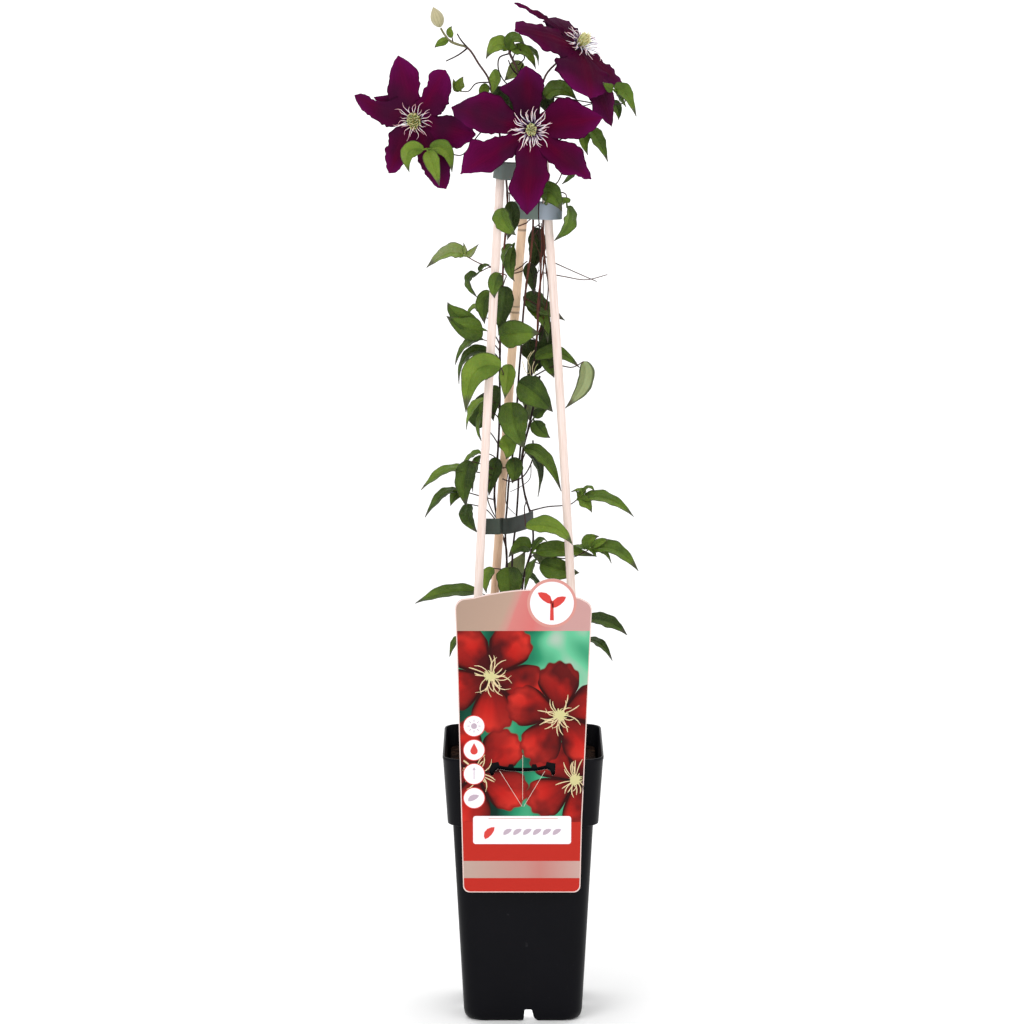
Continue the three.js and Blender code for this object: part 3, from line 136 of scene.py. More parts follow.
# Leaves of each stem: height on it, bends of the stalk, hub, and leaflets of middle, tip, width
# and the way their upper faces look.
LEAVES = {
    "centre": [
        [787, [], [-12, 4, 792], [[[-21, 2, 796], [-30, 0, 785], 16, "raised"]]],
        [789, [], [-11, 3, 792], [[[-7, 0, 801], [1, -3, 797], 14, "raised"]]],
        [788, [], [-10, 3, 792], [[[2, 1, 790], [10, -1, 777], 12, "slant"]]],
        [784, [[-6, 8, 790]], [0, 9, 794], [[[9, 9, 789], [12, 10, 779], 9, "edge"]]],
        [773, [], [0, 9, 781], [[[-7, 9, 775], [-15, 9, 767], 14, "front"]]],
        [494, [], [-9, -6, 508], [[[-7, -13, 491], [1, -12, 471], 26, "front"]]],
        [470, [], [-17, -1, 479], [[[-12, -5, 471], [-14, -5, 461], 15, "front"]]],
        [449, [], [-9, 4, 461], [[[-7, 1, 451], [-9, 2, 440], 15, "front"]]],
        [355, [], [-12, -2, 371], [[[-11, -9, 358], [-11, -9, 339], 23, "front"]]],
        [351, [[-6, 8, 354]], [-2, 10, 361], [[[7, 12, 360], [15, 11, 351], 12, "up"]]],
        [338, [[-15, 6, 340]], [-20, 2, 340], [[[-30, 0, 334], [-40, -4, 321], 14, "left"]]],
        [604, [], [4, 8, 620], [[[6.5, 9, 609], [9, 9, 594], 12, "front"]]],
    ],
    "right": [
        [752, [], [18, 1, 754], [[[29, -4, 761], [43, -7, 753], 18, "raised"]]],
        [755, [[35, 18, 752], [62, 16, 748], [79, 4, 749], [81, -12, 754]], [72, -22, 762], [
            [[81, -25, 759], [90, -27, 741], 15, "frontRight"],
            [[68, -23, 764], [63, -23, 768], 8, "front"],
            [[77, -24, 755], [82, -24, 748], 8, "right"]]],
        [736, [[34, 14, 742], [57, 20, 748]], [72, 17, 750], [
            [[76, 17, 744], [77, 16, 735], 9, "front"]]],
        [712, [[30, 6, 720], [42, 4, 726]], [53, 1, 729], [
            [[60, -2, 720], [68, -4, 703], 15, "frontRight"],
            [[49, 0, 720], [52, -2, 708], 10, "front"]]],
        [710, [[18, 0, 717]], [22, -6, 722], [[[33, -8, 725], [45, -8, 722], 11, "up"]]],
        [683, [[26, 6, 684], [31, 2, 693]], [32, -3, 698], [
            [[38, -5, 694], [31, -6, 685], 11, "right"]]],
        [679, [[11, -4, 680], [10, -15, 681]], [14, -21, 676], [
            [[22, -27, 679], [31, -26, 665], 21, "front"]]],
        [672, [[25, 4, 677], [34, -2, 677]], [35, -6, 670], [
            [[36, -9, 655], [25, -11, 640], 13, "right"],
            [[34, -7, 672], [31, -8, 675], 5, "front"]]],
        [585, [], [0, 9, 592], [[[14, 11, 584], [34, 9, 573], 21, "raised"]]],
        [580, [], [3, 8, 584], [[[15, 9, 576], [20, 7, 555], 16, "slant"]]],
        [536, [], [10, 4, 542], [[[27, 5, 547], [46, 3, 535], 14, "raised"]]],
        [526, [[27, 2, 537], [40, -1, 536]], [49, -3, 541], [
            [[49, -2, 523], [34, 0, 502], 13, "away"]]],
        [524, [], [-4, -4, 524], [[[10, -9, 515], [24, -12, 501], 26, "front"]]],
        [556, [[8, 14, 558]], [4, 20, 556], [[[7, 26, 546], [12, 26, 529], 19, "front"]]],
        [648, [[12, 12, 650]], [9, 14, 648], [[[11.4, 16.5, 631], [6.6, 17.5, 612], 16, "front"]]],
        [540, [], [14, 12, 548], [[[10, 16, 538], [3, 18, 524], 15, "front"]]],
        [746, [], [14, 12, 760], [[[19, 13, 749], [22, 13, 737], 14, "front"]]],
        [560, [], [20, 12, 572], [[[19, 14, 558], [14, 14, 541], 15, "front"]]],
        [532, [], [17, 6, 546], [[[21, 4, 537], [25, 2, 527], 12, "front"]]],
    ],
    "left": [
        [736, [[-35, 4, 725], [-48, -2, 709], [-57, -15, 710], [-67, -21, 713]], [-77, -22, 715], [
            [[-92, -23, 712], [-91, -22, 696], 18, "front"],
            [[-72, -30, 703], [-67, -30, 686], 17, "front"],
            [[-62, -22, 714], [-57, -22, 696], 17, "front"]]],
        [766, [[-38, 5, 765], [-44, 3, 759]], [-50, 2, 759], [
            [[-51, 1, 765], [-48, 1, 771], 9, "front"], [[-54, 2, 763], [-56, 2, 769], 7, "front"]]],
        [797, [], [-60, 2, 800], [[[-66, 0, 798], [-71, -1, 794], 7, "front"]]],
        [798, [], [-57, 3, 802], [[[-59, 2, 807], [-57, 1, 811], 6, "front"]]],
        [345, [[-14, 27, 348]], [-12, 32, 352], [[[-6, 38, 362], [2, 40, 377], 18, "back"]]],
        [470, [[-26, 22, 478]], [-32, 22, 484], [[[-36, 20, 498], [-30, 16, 514], 20, "front"]]],
        [763, [], [-24, 1, 776], [[[-22, -3, 767], [-26, -3, 756], 12, "frontLeft"]]],
        [758, [], [-28, 9, 763], [[[-32, 9, 759], [-35, 9, 751], 9, "front"]]],
        [752, [], [-23, 5, 759], [[[-17, 1, 755], [-11, 1, 746], 14, "front"]]],
        [642, [[-13, -12, 647], [-13, -23, 658]], [-18, -29, 668], [
            [[-15, -33, 657], [-6, -30, 646.5], 18, "frontLeft"]]],
        [676, [[-11, -9, 678]], [-11, -15, 672], [[[-9, -18, 658], [-13, -15, 641], 14, "front"]]],
        [621, [], [-7, 2, 637], [
            [[-15, -1, 628], [-13, 0, 614], 11, "left"], [[-11, 0, 618], [-7, 0, 606], 10, "front"]]],
        [602, [[-24, -3, 617], [-35, -5, 621]], [-46, -6, 627], [
            [[-60, -10, 630], [-78, -13, 618.5], 20, "tipped"],
            [[-42, -6, 630], [-36, -6, 637], 6, "front"],
            [[-47, -5, 632], [-48, -5, 638], 4, "front"]]],
        [598, [[-25, -6, 618]], [-36, -8, 614], [
            [[-44, -10, 607], [-37, -11, 594], 12, "left"],
            [[-32, -7, 619], [-27, -6, 620], 7, "up"]]],
        [600, [[-15, -12, 608], [-14, -25, 614]], [-19, -30, 616], [
            [[-23, -32, 607], [-23, -31, 596], 13, "front"]]],
        [590, [], [-15, 0, 602], [[[-16, -3, 586], [-20, -2, 562], 17, "front"]]],
        [582, [[-20, -3, 591]], [-26, -7, 598], [[[-32, -8, 588], [-31, -6, 572], 15, "front"]]],
        [553, [[-23, -2, 562]], [-30, -8, 567], [
            [[-46, -12, 570], [-62, -11, 579], 21, "front"],
            [[-52, -10, 579], [-61, -8, 590], 16, "front"]]],
        [566, [[-24, -2, 575]], [-32, -4, 577], [[[-39, -4, 585], [-46, -3, 576], 13, "up"]]],
        [548, [[-25, -2, 556]], [-32, -5, 559], [[[-46, -8, 555], [-55, -8, 539], 13, "up"]]],
        [540, [[-23, 0, 547]], [-28, -3, 550], [[[-46, -6, 545], [-52, -7, 523], 13, "left"]]],
        [525, [[-16, -12, 532]], [-18, -30, 540], [[[-39, -38, 537], [-46, -36, 504], 24, "front"]]],
        [526, [], [-12, -5, 539], [[[-13, -9, 527], [-15, -8, 511], 14, "front"]]],
        [548, [], [-19, -3, 561], [[[-4, -10, 565], [13, -9, 565], 24, "front"]]],
        [500, [[-24, -2, 508]], [-30, -6, 511], [[[-41, -9, 502], [-46, -8, 486], 13, "left"]]],
        [492, [[-24, 0, 498]], [-32, -4, 501], [[[-36, -5, 489], [-34, -5, 476], 9, "left"]]],
        [510, [], [-21, 5, 520], [[[-25, 1, 507], [-24, 3, 491], 13, "front"]]],
        [451, [], [-21, 15, 459], [[[-25, 12, 446], [-28, 12, 428], 14, "front"]]],
        [442, [[-29, 6, 447]], [-45, -6, 452], [[[-64, -9, 451], [-83, -13, 437], 17, "up"]]],
        [422, [[-32, 6, 428]], [-50, -4, 435], [
            [[-66, -7, 431], [-80, -11, 414], 15, "up"],
            [[-56, -7, 431], [-59, -8, 423], 9, "front"]]],
        [446, [[-30, 0, 455]], [-42, -9, 460], [[[-48, -13, 444], [-46, -13, 423], 18, "front"]]],
        [457, [[-26, 6, 463]], [-33, -1, 466], [
            [[-39, -4, 452], [-41, -5, 434], 13, "left"], [[-42, 0, 463], [-50, 0, 454], 10, "up"]]],
        [402, [[-32, 6, 419]], [-43, -5, 424], [[[-45, -9, 414], [-37, -9, 401], 15, "frontLeft"]]],
        [364, [], [-24, 5, 369], [[[-30, 2, 361], [-30, 1, 349], 13, "frontLeft"]]],
        [339, [[-27, 0, 346]], [-37, -8, 352], [
            [[-63, -13, 352], [-88, -17, 344], 17, "tipped"]]],
        [336, [[-32, 4, 321]], [-47, -8, 315], [[[-55, -12, 311], [-60, -15, 299], 11, "left"]]],
        [748, [], [-17, 12, 759], [[[-11, 13, 749], [-7, 13, 736], 14, "front"]]],
    ],
    "low": [
        [488, [], [8, -3, 494], [
            [[14, -6, 485], [22, -7, 479], 13, "front"], [[14, -4, 500], [20, -5, 502], 9, "front"]]],
        [462, [], [1, -2, 469], [[[17, -7, 462], [31, -7, 435], 15, "slant"]]],
        [459, [], [2, 0, 466], [[[12, -4, 454], [12, -6, 430], 15, "right"]]],
        [424, [[2, -8, 425], [1, -25, 423]], [2, -31, 410], [
            [[24, -34, 410], [40, -36, 396], 17, "raised"]]],
        [382, [], [6, 0, 386], [[[-2, -4, 389], [-12, -5, 380], 16, "raised"]]],
        [379, [], [7, -2, 383], [
            [[30, -3, 385.5], [60, -4, 380.5], 17, "raised"], [[14, 2, 393], [20, 4, 391], 8, "up"]]],
        [372, [[9, 0, 375]], [14, -2, 374], [[[30, -7, 370], [46, -10, 368], 20, "front"]]],
        [368, [[7, -2, 376]], [11, -6, 379], [[[6, -10, 369], [1, -12, 352], 13, "left"]]],
        [415, [[20, 6, 420], [32, 0, 422], [39, -4, 424]], [44, -6, 428], [
            [[69, -10, 429], [90, -13, 415], 15, "tipped"],
            [[51, -9, 426], [56, -10, 418], 11, "front"],
            [[47, -5, 435], [39, -4, 434], 9, "up"], [[53, -6, 438], [58, -8, 435], 6, "up"]]],
        [389, [[27, 0, 379], [40, -6, 380]], [54, -8, 387], [
            [[76, -12, 387], [94, -16, 370.5], 16, "tipped"],
            [[65, -10, 386], [72, -11, 376], 9, "right"],
            [[54, -7, 395], [62, -8, 398], 12, "front"], [[63, -10, 394], [69, -12, 396], 7, "front"],
            [[46, -8, 389], [39, -7, 390], 9, "up"], [[57, -9, 385], [60, -10, 381], 5, "up"]]],
        [339, [[27, 0, 338], [42, -8, 332]], [52, -12, 329], [
            [[69, -16, 328.5], [85, -19, 318], 16, "tipped"]]],
        [336, [[22, 0, 325], [40, -6, 315]], [52, -10, 312], [
            [[63, -13, 309], [73, -16, 296], 12, "up"]]],
        [498, [[8, 12, 502]], [9, 20, 504], [[[7, 30, 500], [5, 38, 487], 18, "back"]]],
        [376, [[9, 18, 378]], [13, 27, 378], [[[16, 34, 373], [20, 39, 358], 14, "back"]]],
    ],
}
FACING = {
    "front": [0, -1, 0.15],
    "up": [0, -0.3, 1],
    "left": [-1, -0.5, 0.2],
    "right": [1, -0.5, 0.2],
    "slant": [0.6, -0.7, 0.3],
    "edge": [0.9, -0.35, 0.2],
    "raised": [0.1, -0.75, 0.65],
    "tipped": [0, -0.55, 0.83],
    "back": [0, 1, 0.2],
    "away": [0.5, 0.85, 0.1],
    "frontLeft": [-0.6, -0.8, 0.2],
    "frontRight": [0.6, -0.8, 0.2],
}
# Blooms. Each tepal has its tip, its bow, and its half widths to the left and right at these shares.
TEPAL_STATIONS = [0.15, 0.35, 0.52, 0.68, 0.82, 0.94]
BLOOMS = {
    "front": {
        "centre": [6, -34, 731.5], "faces": [0.02, -1, 0.04],
        "stem": "centre", "stalkZ": 715, "stalk": [[5, -12, 724], [6, -25, 731]],
        "stamenReach": 17.5, "boss": [4.2, 5.6],
        "tepals": [
            [[2, -37, 782], 3, [10, 12, 16, 21, 11, 5], [7, 8, 11, 13, 11, 5]],
            [[63, -35, 741], 3, [10, 17, 20, 17, 10, 4], [6, 10, 13, 14, 10, 4]],
            [[54, -36, 692], 3, [6, 7, 13, 13, 7, 4], [6, 10, 10, 12, 6, 3]],
            [[3, -38, 664], 3, [6, 13, 17, 13, 10, 4], [8, 11, 12, 16, 11, 5]],
            [[-50, -37, 696], 3, [7, 10, 11, 11, 6, 2], [4, 8, 13, 17, 12, 5]],
            [[-57, -35, 749], 3, [6, 10, 13, 14, 10, 6], [6, 13, 20, 17, 11, 4]],
        ],
    },
    "left": {
        "centre": [-86, -7, 736.5], "faces": [-0.22, -0.97, 0.03],
        "stem": "left", "stalkZ": 750, "stalk": [[-50, 8, 738], [-80, 7, 736]],
        "stamenReach": 14, "boss": [5.5, 5.5],
        "tepals": [
            [[-100, -6, 788], 3, [10, 17, 16, 12, 9, 4], [8, 9, 12, 13, 9, 4]],
            [[-62, -14, 777], 3, [6, 6, 7, 7, 9, 6], [7, 16, 15, 15, 12, 6]],
            [[-38, -19, 726], 2, [5, 8, 10, 9, 6, 3], [6, 14, 15, 15, 12, 6]],
            [[-62, -12, 682], 3, [7, 13, 16, 13, 10, 5], [7, 8, 12, 11, 8, 6]],
            [[-108, -5, 694], 3, [7, 13, 11, 8, 7, 5], [6, 14, 12, 11, 8, 4]],
            [[-135, -2, 756], 3, [6, 13, 12, 11, 9, 4], [7, 12, 5, 3, 4, 3]],
            [[-120, 5, 754], 1, [3, 3, 3, 2, 2, 1], [5, 10, 11, 9, 5, 2]],
        ],
    },
    "right": {
        "centre": [43, 0, 793.5], "faces": [0.55, -0.5, 0.67],
        "stem": "right", "stalkZ": 789, "stalk": [],
        "stamenReach": 14, "boss": [4.6, 6.5],
        "tepals": [
            [[-7, -4, 830], 5, [3, 3, 3, 3, 3, 2], [4, 4, 4, 4, 3, 2]],
            [[-7, -37, 809], 4, [10, 18, 17, 13, 6, 2], [7, 12, 13, 11, 12, 10]],
            [[26, 22, 817], 4, [9, 14, 18, 20, 18, 13], [7, 10, 11, 11, 10, 7]],
            [[53, -40, 756], 4, [10, 20, 22, 20, 15, 7], [9, 22, 31, 30, 25, 13]],
            [[79, -4, 763], 3, [6, 8, 8, 9, 8, 5], [12, 21, 24, 23, 14, 6]],
            [[70, -16, 732], 2, [8, 16, 18, 18, 11, 5], [8, 11, 11, 13, 11, 5]],
        ],
    },
}
BUD = {"foot": [-66.2, 0, 810.1], "tip": [-72.1, 0, 826.5], "radius": 5.6}
# Tendrils and spare stalks of each stem: radius and route.
SHOOTS = {
    "centre": [
        [0.8, [[-11.5, 4, 789], [-19, 3, 786], [-20, 3, 777], [-16, 3, 768], [-12, 3, 764]]],
        [0.8, [[-3.5, 4, 771], [-9, 3, 777], [-12, 3, 784]]],
        [0.8, [[-4, 4, 780], [1, 1, 786], [-3, 1, 793]]],
    ],
    "right": [
        [0.8, [[15.2, 5, 612.5], [22, 3.5, 611.5], [33, -1, 610], [50.7, -4, 607.7], [68, -5, 612]]],
        [0.8, [[15.3, 5, 628], [22, 4, 622.5], [35.4, 1, 616.3], [59.7, 0, 605.7]]],
        [0.8, [[15.9, 4, 653], [17, 3, 622], [12.4, 1, 595], [12, 2, 572], [10.5, 7, 552]]],
        [0.8, [[16, 5, 648], [17.6, 9, 624], [20.4, 10, 600], [17.8, 10, 580], [12.2, 8, 562]]],
    ],
    "left": [
        [0.9, [[-44.5, 4, 793.5], [-50, 3, 800], [-53, 3, 805]]],
        [0.9, [[-44.5, 4, 793.5], [-52, 4, 788], [-62, 4, 783]]],
        [0.8, [[-21.8, 22, 447], [-28, 8, 440], [-29, -12, 430], [-25, -22, 421], [-22, -23.4, 416]]],
    ],
    "low": [
        [0.8, [[8, 5, 475], [8, -3, 462], [0, -6, 447], [-10, -6, 443], [-17, -5, 445]]],
    ],
}
# How far the stamens' foot stands off the middle of a bloom.
STAMEN_BASE = {"lift": 2.9, "height": 1.2}

# Upper faces: how light each leaf is, from 0 for old shade leaves to 1 for the palest; the palest
# tones are a painted sheen, standing for the bright studio reflected off leaves tipped up to it.
LEAF_TONES_AND_SHEEN = {
    "centre": [0.68, 0.5, 0.6, 0.4, 0.86, 0.45, 0.6, 0.4, 0.45, 0.35, 0.3, 0.1],
    "right": [
        0.45, 0.5, 0.3, 0.5, 0.4, 0.42, 0.36, 0.54, 0.35, 0.42, 0.45, 0.9, 0.36, 0.1, 0.15, 0.15,
        0.1, 0.12, 0.3,
    ],
    "left": [
        0.62, 0.8, 0.6, 0.6, 0.45, 0.3, 0.6, 0.6, 0.2, 0.53, 0.2, 0.35, 0.86, 0.35, 0.4, 0.2, 0.3,
        0.4, 0.55, 0.3, 0.3, 0.6, 0.62, 0.45, 0.6, 0.45, 0.25, 0.25, 0.5, 0.35, 0.3, 0.45, 0.35,
        0.6, 0.4, 0.3, 0.3,
    ],
    "low": [0.3, 0.42, 0.2, 0.6, 0.35, 0.45, 0.4, 0.4, 0.5, 0.5, 0.3, 0.3, 0.2, 0.2],
}

# Leaves that are narrower or wider than their tables say.
LEAF_TRIMS = {("left", 0): 0.8, ("right", 7): 1.6, ("right", 11): 1.25}

# Hair-thin runners and dry seed plumes of each stem: radius, tone and route.
RUNNERS = {
    "right": [
        (0.45, 0.4, [
            (14.5, 3, 653), (15, 3, 625), (14, 3, 611), (12.5, 3, 596), (11, 3, 582), (11.5, 3, 568)]),
        (0.4, 0.26, [(16.5, 5, 639), (16, 5, 620), (16.5, 5, 610), (16.5, 5, 592), (17.5, 5, 582)]),
        (0.4, 0.22, [(18, 1, 623), (18.5, 1, 613), (20.5, 1, 603), (19.5, 1, 588), (22, 1, 568)]),
        (0.35, 0.1, [(13, -1, 615), (10, -1, 611), (9, -1, 604), (11, -1, 596), (12.5, -1, 592)]),
        (0.4, 0.2, [(13.5, 0, 653), (8.5, 0, 648), (8, 0, 640), (6.5, 0, 633)]),
        (0.35, 0.12, [(7.5, -1, 653), (11, -1, 646), (13.5, -1, 639), (14.5, -1, 629)]),
        (0.35, 0.3, [(12, 2, 647), (8.5, 2, 642), (11, 2, 634), (13.5, 2, 626), (12, 3, 612)]),
        (0.35, 0.42, [(12, 0, 595), (13, 0, 588), (11.5, 0, 580), (11, 0, 568)]),
        (0.4, 0.08, [(17, 2, 573), (16, 2, 564), (13.5, 2, 557)]),
        (0.35, 0.08, [(20, 3, 562), (16, 3, 568), (13, 3, 570)]),
        (0.32, 1.2, [(9, -2, 550), (5.5, -2, 545), (4, -2, 539), (5, -2, 533), (6.5, -2, 529)]),
        (0.3, 1.2, [(6.5, -3, 549), (3.5, -3, 543), (5.5, -3, 537), (6, -3, 531)]),
        (0.32, 1.1, [(-0.5, -2, 541), (1, -2, 535), (3.5, -2, 531), (6, -2, 532)]),
        (0.3, 1.2, [(9, -3, 541), (7.5, -3, 536), (8.5, -3, 531), (11, -3, 531)]),
        (0.3, 0.95, [(12, -2, 539), (9.5, -2, 535), (9.5, -2, 530)]),
        (0.75, 0.1, [
            (13.5, -7, 700), (12.4, -9.6, 687), (12.9, -9.8, 676), (12.2, -9.7, 664),
            (12.8, -8.5, 652), (14, -4, 640)]),
    ],
    "low": [
        (0.4, 0.1, [(6.5, 2, 455), (5.5, 2, 444), (-1, 2, 438), (-10.5, 2, 433)]),
        (0.4, 0.08, [(-12.5, 4, 448), (-14, 4, 434), (-13.5, 4, 422), (-6.5, 4, 414)]),
    ],
}
# Canes bow sideways in the middle; a bow below nought is to the left.
CANE_BOWS = {"left": -1.2, "right": 2.0, "bamboo": -2.6}
# Tendrils coiled once round the bamboo: height, and how much they rise across it.
COILS = [(651.5, 1.6), (616.0, 2.6), (612.5, 1.2), (450.5, 0.5)]

rng = random.Random(11)


# ------------------------------------------------------------------ colours and nodes
def hex_colour(code):
    """Linear colour of an sRGB hex value."""
    parts = [int(code[i : i + 2], 16) / 255 for i in (1, 3, 5)]
    return (*(c / 12.92 if c <= 0.04045 else ((c + 0.055) / 1.055) ** 2.4 for c in parts), 1.0)


def fill(tree, socket, value):
    """Gives a socket a number, an sRGB hex colour, or the output of a node."""
    if isinstance(value, bpy.types.Node):
        value = next(s for s in value.outputs if s.enabled)
    if isinstance(value, bpy.types.NodeSocket):
        tree.links.new(value, socket)
    else:
        socket.default_value = hex_colour(value) if isinstance(value, str) else value


def add_node(tree, kind, *values, stops=(), ease=False, **named):
    """Adds a node; kind may end in its operation. Values fill its open inputs in order, names with
    a capital are inputs, and other names are settings; stops are (place, hex or grey)."""
    kind, *operation = kind.split()
    made = tree.nodes.new("ShaderNode" + kind)
    for word in operation:
        made.operation = word
    for name in (n for n in named if n[0].islower()):
        setattr(made, name, named[name])
    for socket, value in zip([s for s in made.inputs if s.enabled], values):
        fill(tree, socket, value)
    for name in (n for n in named if n[0].isupper()):
        fill(tree, made.inputs[name], named[name])
    if stops:
        bar = made.color_ramp
        bar.interpolation = "EASE" if ease else "LINEAR"
        while len(bar.elements) < len(stops):
            bar.elements.new(0.5)
        for element, (place, colour) in zip(bar.elements, stops):
            element.position = place
            element.color = hex_colour(colour) if isinstance(colour, str) else (*(colour,) * 3, 1.0)
    return made


def new_skin(name, **inputs):
    """A material whose shader has these inputs, with _ for a space. Returns it, the function that
    adds its nodes, and its Object and UV coordinates."""
    material = bpy.data.materials.new(name)
    material.use_nodes = True
    tree = material.node_tree
    for key, value in inputs.items():
        fill(tree, tree.nodes["Principled BSDF"].inputs[key.replace("_", " ")], value)
    places = add_node(tree, "TexCoord").outputs
    return material, partial(add_node, tree), places["Object"], places["UV"]


def coat(material, colour, washes, relief=None, depth=0.0, strength=1.0):
    """Finishes a material: washes of (share, colour) or (share, strength, colour) are laid over its
    colour, and relief, from 0 to 1, is raised by depth in metres."""
    tree = material.node_tree
    shader = tree.nodes["Principled BSDF"]
    for share, *thinned, wash in washes:
        if thinned:
            share = add_node(tree, "Math MULTIPLY", share, *thinned)
        colour = add_node(tree, "Mix", share, colour, wash, data_type="RGBA")
    fill(tree, shader.inputs["Base Color"], colour)
    if relief:
        raised = add_node(tree, "Bump", Height=relief, Distance=depth, Strength=strength)
        fill(tree, shader.inputs["Normal"], raised)
    return material


def split_blade(node, flat):
    """Shares of the way across and along a blade, and how far aside a point is from its middle."""
    across, along = node("SeparateXYZ", flat).outputs[:2]
    return across, along, node("Math ABSOLUTE", node("Math MULTIPLY_ADD", across, 2.0, -1.0))


# ------------------------------------------------------------------ materials
def leaf_faces():
    """Clematis leaf: the upper face is waxy green, pale where its tone is high, which is a painted
    sheen standing for the bright studio reflected off leaves tipped up to it, with faint veins that
    run from base to tip; the underside is pale and dull with raised veins."""
    faces = []
    for name, dull, vein, greens in (
        ("leaf_upper_face", 0.4, "#8da04c", [
            (0.0, "#101b06"), (0.28, "#2a3d0c"), (0.5, "#526b1c"), (0.7, "#6f8729"), (0.8, "#77893d"),
            (0.9, "#7f8c55"), (1.0, "#8e976a")]),
        ("leaf_underside", 0.6, "#b0ba8c", [
            (0.0, "#3f4d2a"), (0.35, "#5d6b3c"), (0.7, "#7f8c5a"), (1.0, "#949f70")]),
    ):
        skin, node, spot, flat = new_skin(name, Roughness=dull, Specular_IOR_Level=0.2,
                                          Subsurface_Weight=0.1, Subsurface_Scale=0.001)
        across, along, aside = split_blade(node, flat)
        tone = node("Attribute", attribute_name="tone").outputs["Fac"]
        cloud = node("TexNoise", spot, 70.0, 3.0, 0.55)
        # One half is deeper than the other, as painted shade where the blade folds away from the
        # light, and the foot of the blade is deeper than its tip.
        half = node("ValToRGB", across, stops=[(0.46, 0.0), (0.54, 1.0)], ease=True)
        tone_with_painted_fold_shade = node("Math MULTIPLY_ADD", half, 0.1, tone)
        sloped = node("Math MULTIPLY_ADD", along, 0.1, node("Math ADD", tone_with_painted_fold_shade, -0.1))
        mottled = node("Math MULTIPLY_ADD", node("Math SUBTRACT", cloud, 0.5), 0.42, sloped)
        # Main vein, one long vein on each half and another near the margin.
        veins = node("ValToRGB", aside, stops=[(0.0, 1.0), (0.03, 0.0), (0.33, 0.0), (0.36, 0.6),
                                               (0.39, 0.0), (0.67, 0.0), (0.7, 0.35), (0.73, 0.0)])
        # Net of small veins about 3 mm apart.
        net = node("TexVoronoi", spot, 330.0, feature="DISTANCE_TO_EDGE")
        lines = node("Math MAXIMUM", veins, node("ValToRGB", net, stops=[(0.0, 0.4), (0.09, 0.0)]))
        # The rim is deeper, most of all on a leaf whose tone reaches into the painted sheen, and the
        # tip dries to a dull grey brown.
        sheen_excess = node("Math MAXIMUM", node("Math SUBTRACT", tone, 0.8), 0.0)
        rim = node("ValToRGB", node("Math MULTIPLY_ADD", sheen_excess, 1.4, aside),
                   stops=[(0.87, 0.0), (1.0, 0.75)])
        dry = node("ValToRGB", node("Math MULTIPLY_ADD", cloud, 0.16, along),
                   stops=[(0.93, 0.0), (1.08, 0.75)])
        relief = node("Math MULTIPLY_ADD", cloud, 0.5, lines)
        if name == "leaf_upper_face":
            relief = node("Math SUBTRACT", 1.0, relief)
        # The palest greens, from a tone of about 0.8 up, are painted sheen.
        green = node("ValToRGB", mottled, stops=greens)
        washes = [(lines, 0.22, vein), (rim, "#2b3516"), (dry, "#4a4440")]
        faces.append(coat(skin, green, washes, relief, 0.0006, 0.8))
    return faces


def tepal_faces():
    """Clematis tepal: dark velvety purple, redder along the bar, with a magenta bloom to the
    margins; its back is a duller purple with three ribs."""
    faces = []
    for name, bar, side, margin, dull in (
        ("tepal_velvet_face", "#580428", "#4d042a", "#540636", 0.65),
        ("tepal_ribbed_back", "#460d29", "#400b2b", "#4d0d38", 0.7),
    ):
        skin, node, spot, flat = new_skin(
            name, Roughness=dull, Specular_IOR_Level=0.02, Sheen_Weight=0.02, Sheen_Roughness=0.5,
            Sheen_Tint="#c03a90")
        _, along, aside = split_blade(node, flat)
        cloud = node("TexNoise", spot, 45.0, 3.0, 0.55)
        spread = node("Math MULTIPLY_ADD", node("Math SUBTRACT", cloud, 0.5), 0.7, aside)
        banded = node("ValToRGB", spread, stops=[(0.0, bar), (0.4, side), (0.98, margin)])
        # The base is darkest.
        base = node("ValToRGB", along, stops=[(0.0, "#c0a0b0"), (0.25, "#e8e0e8"), (1.0, "#ffffff")])
        shaded = node("Mix", 1.0, banded, base, data_type="RGBA", blend_type="MULTIPLY")
        tone = node("Attribute", attribute_name="tone").outputs["Fac"]
        far = node("Math MULTIPLY_ADD", along, 0.9, node("Math MULTIPLY", spread, 0.22))
        patches = node("TexNoise", spot, 26.0, 2.0, 0.55)
        # Streaks along the tepal, about half a millimetre apart.
        streak = node("TexNoise", node("Mapping", flat, Scale=(60.0, 2.2, 1.0)), 1.0, 3.0, 0.55)
        washes = [
            # Magenta where the tone is high; a tone below nought darkens the tepal as painted shade.
            (tone, 0.3, "#64084a"),
            (tone, -1.0, "#280a20"),
            # Magenta towards the tip, and dusky patches about 40 mm across.
            (node("ValToRGB", far, stops=[(0.66, 0.0), (1.1, 0.45)]), "#650f54"),
            (node("ValToRGB", patches, stops=[(0.48, 0.0), (0.68, 0.75)]), "#33112a"),
            # The ruffled margin turns away from the light; its dark is painted shade.
            (node("ValToRGB", aside, stops=[(0.91, 0.0), (1.0, 0.65)]), "#1e0416"),
            (node("ValToRGB", streak, stops=[(0.42, 0.0), (0.75, 1.0)], ease=True), 0.3, "#2c0620"),
        ]
        faces.append(coat(skin, shaded, washes, streak, 0.0003, 0.7))
    return faces


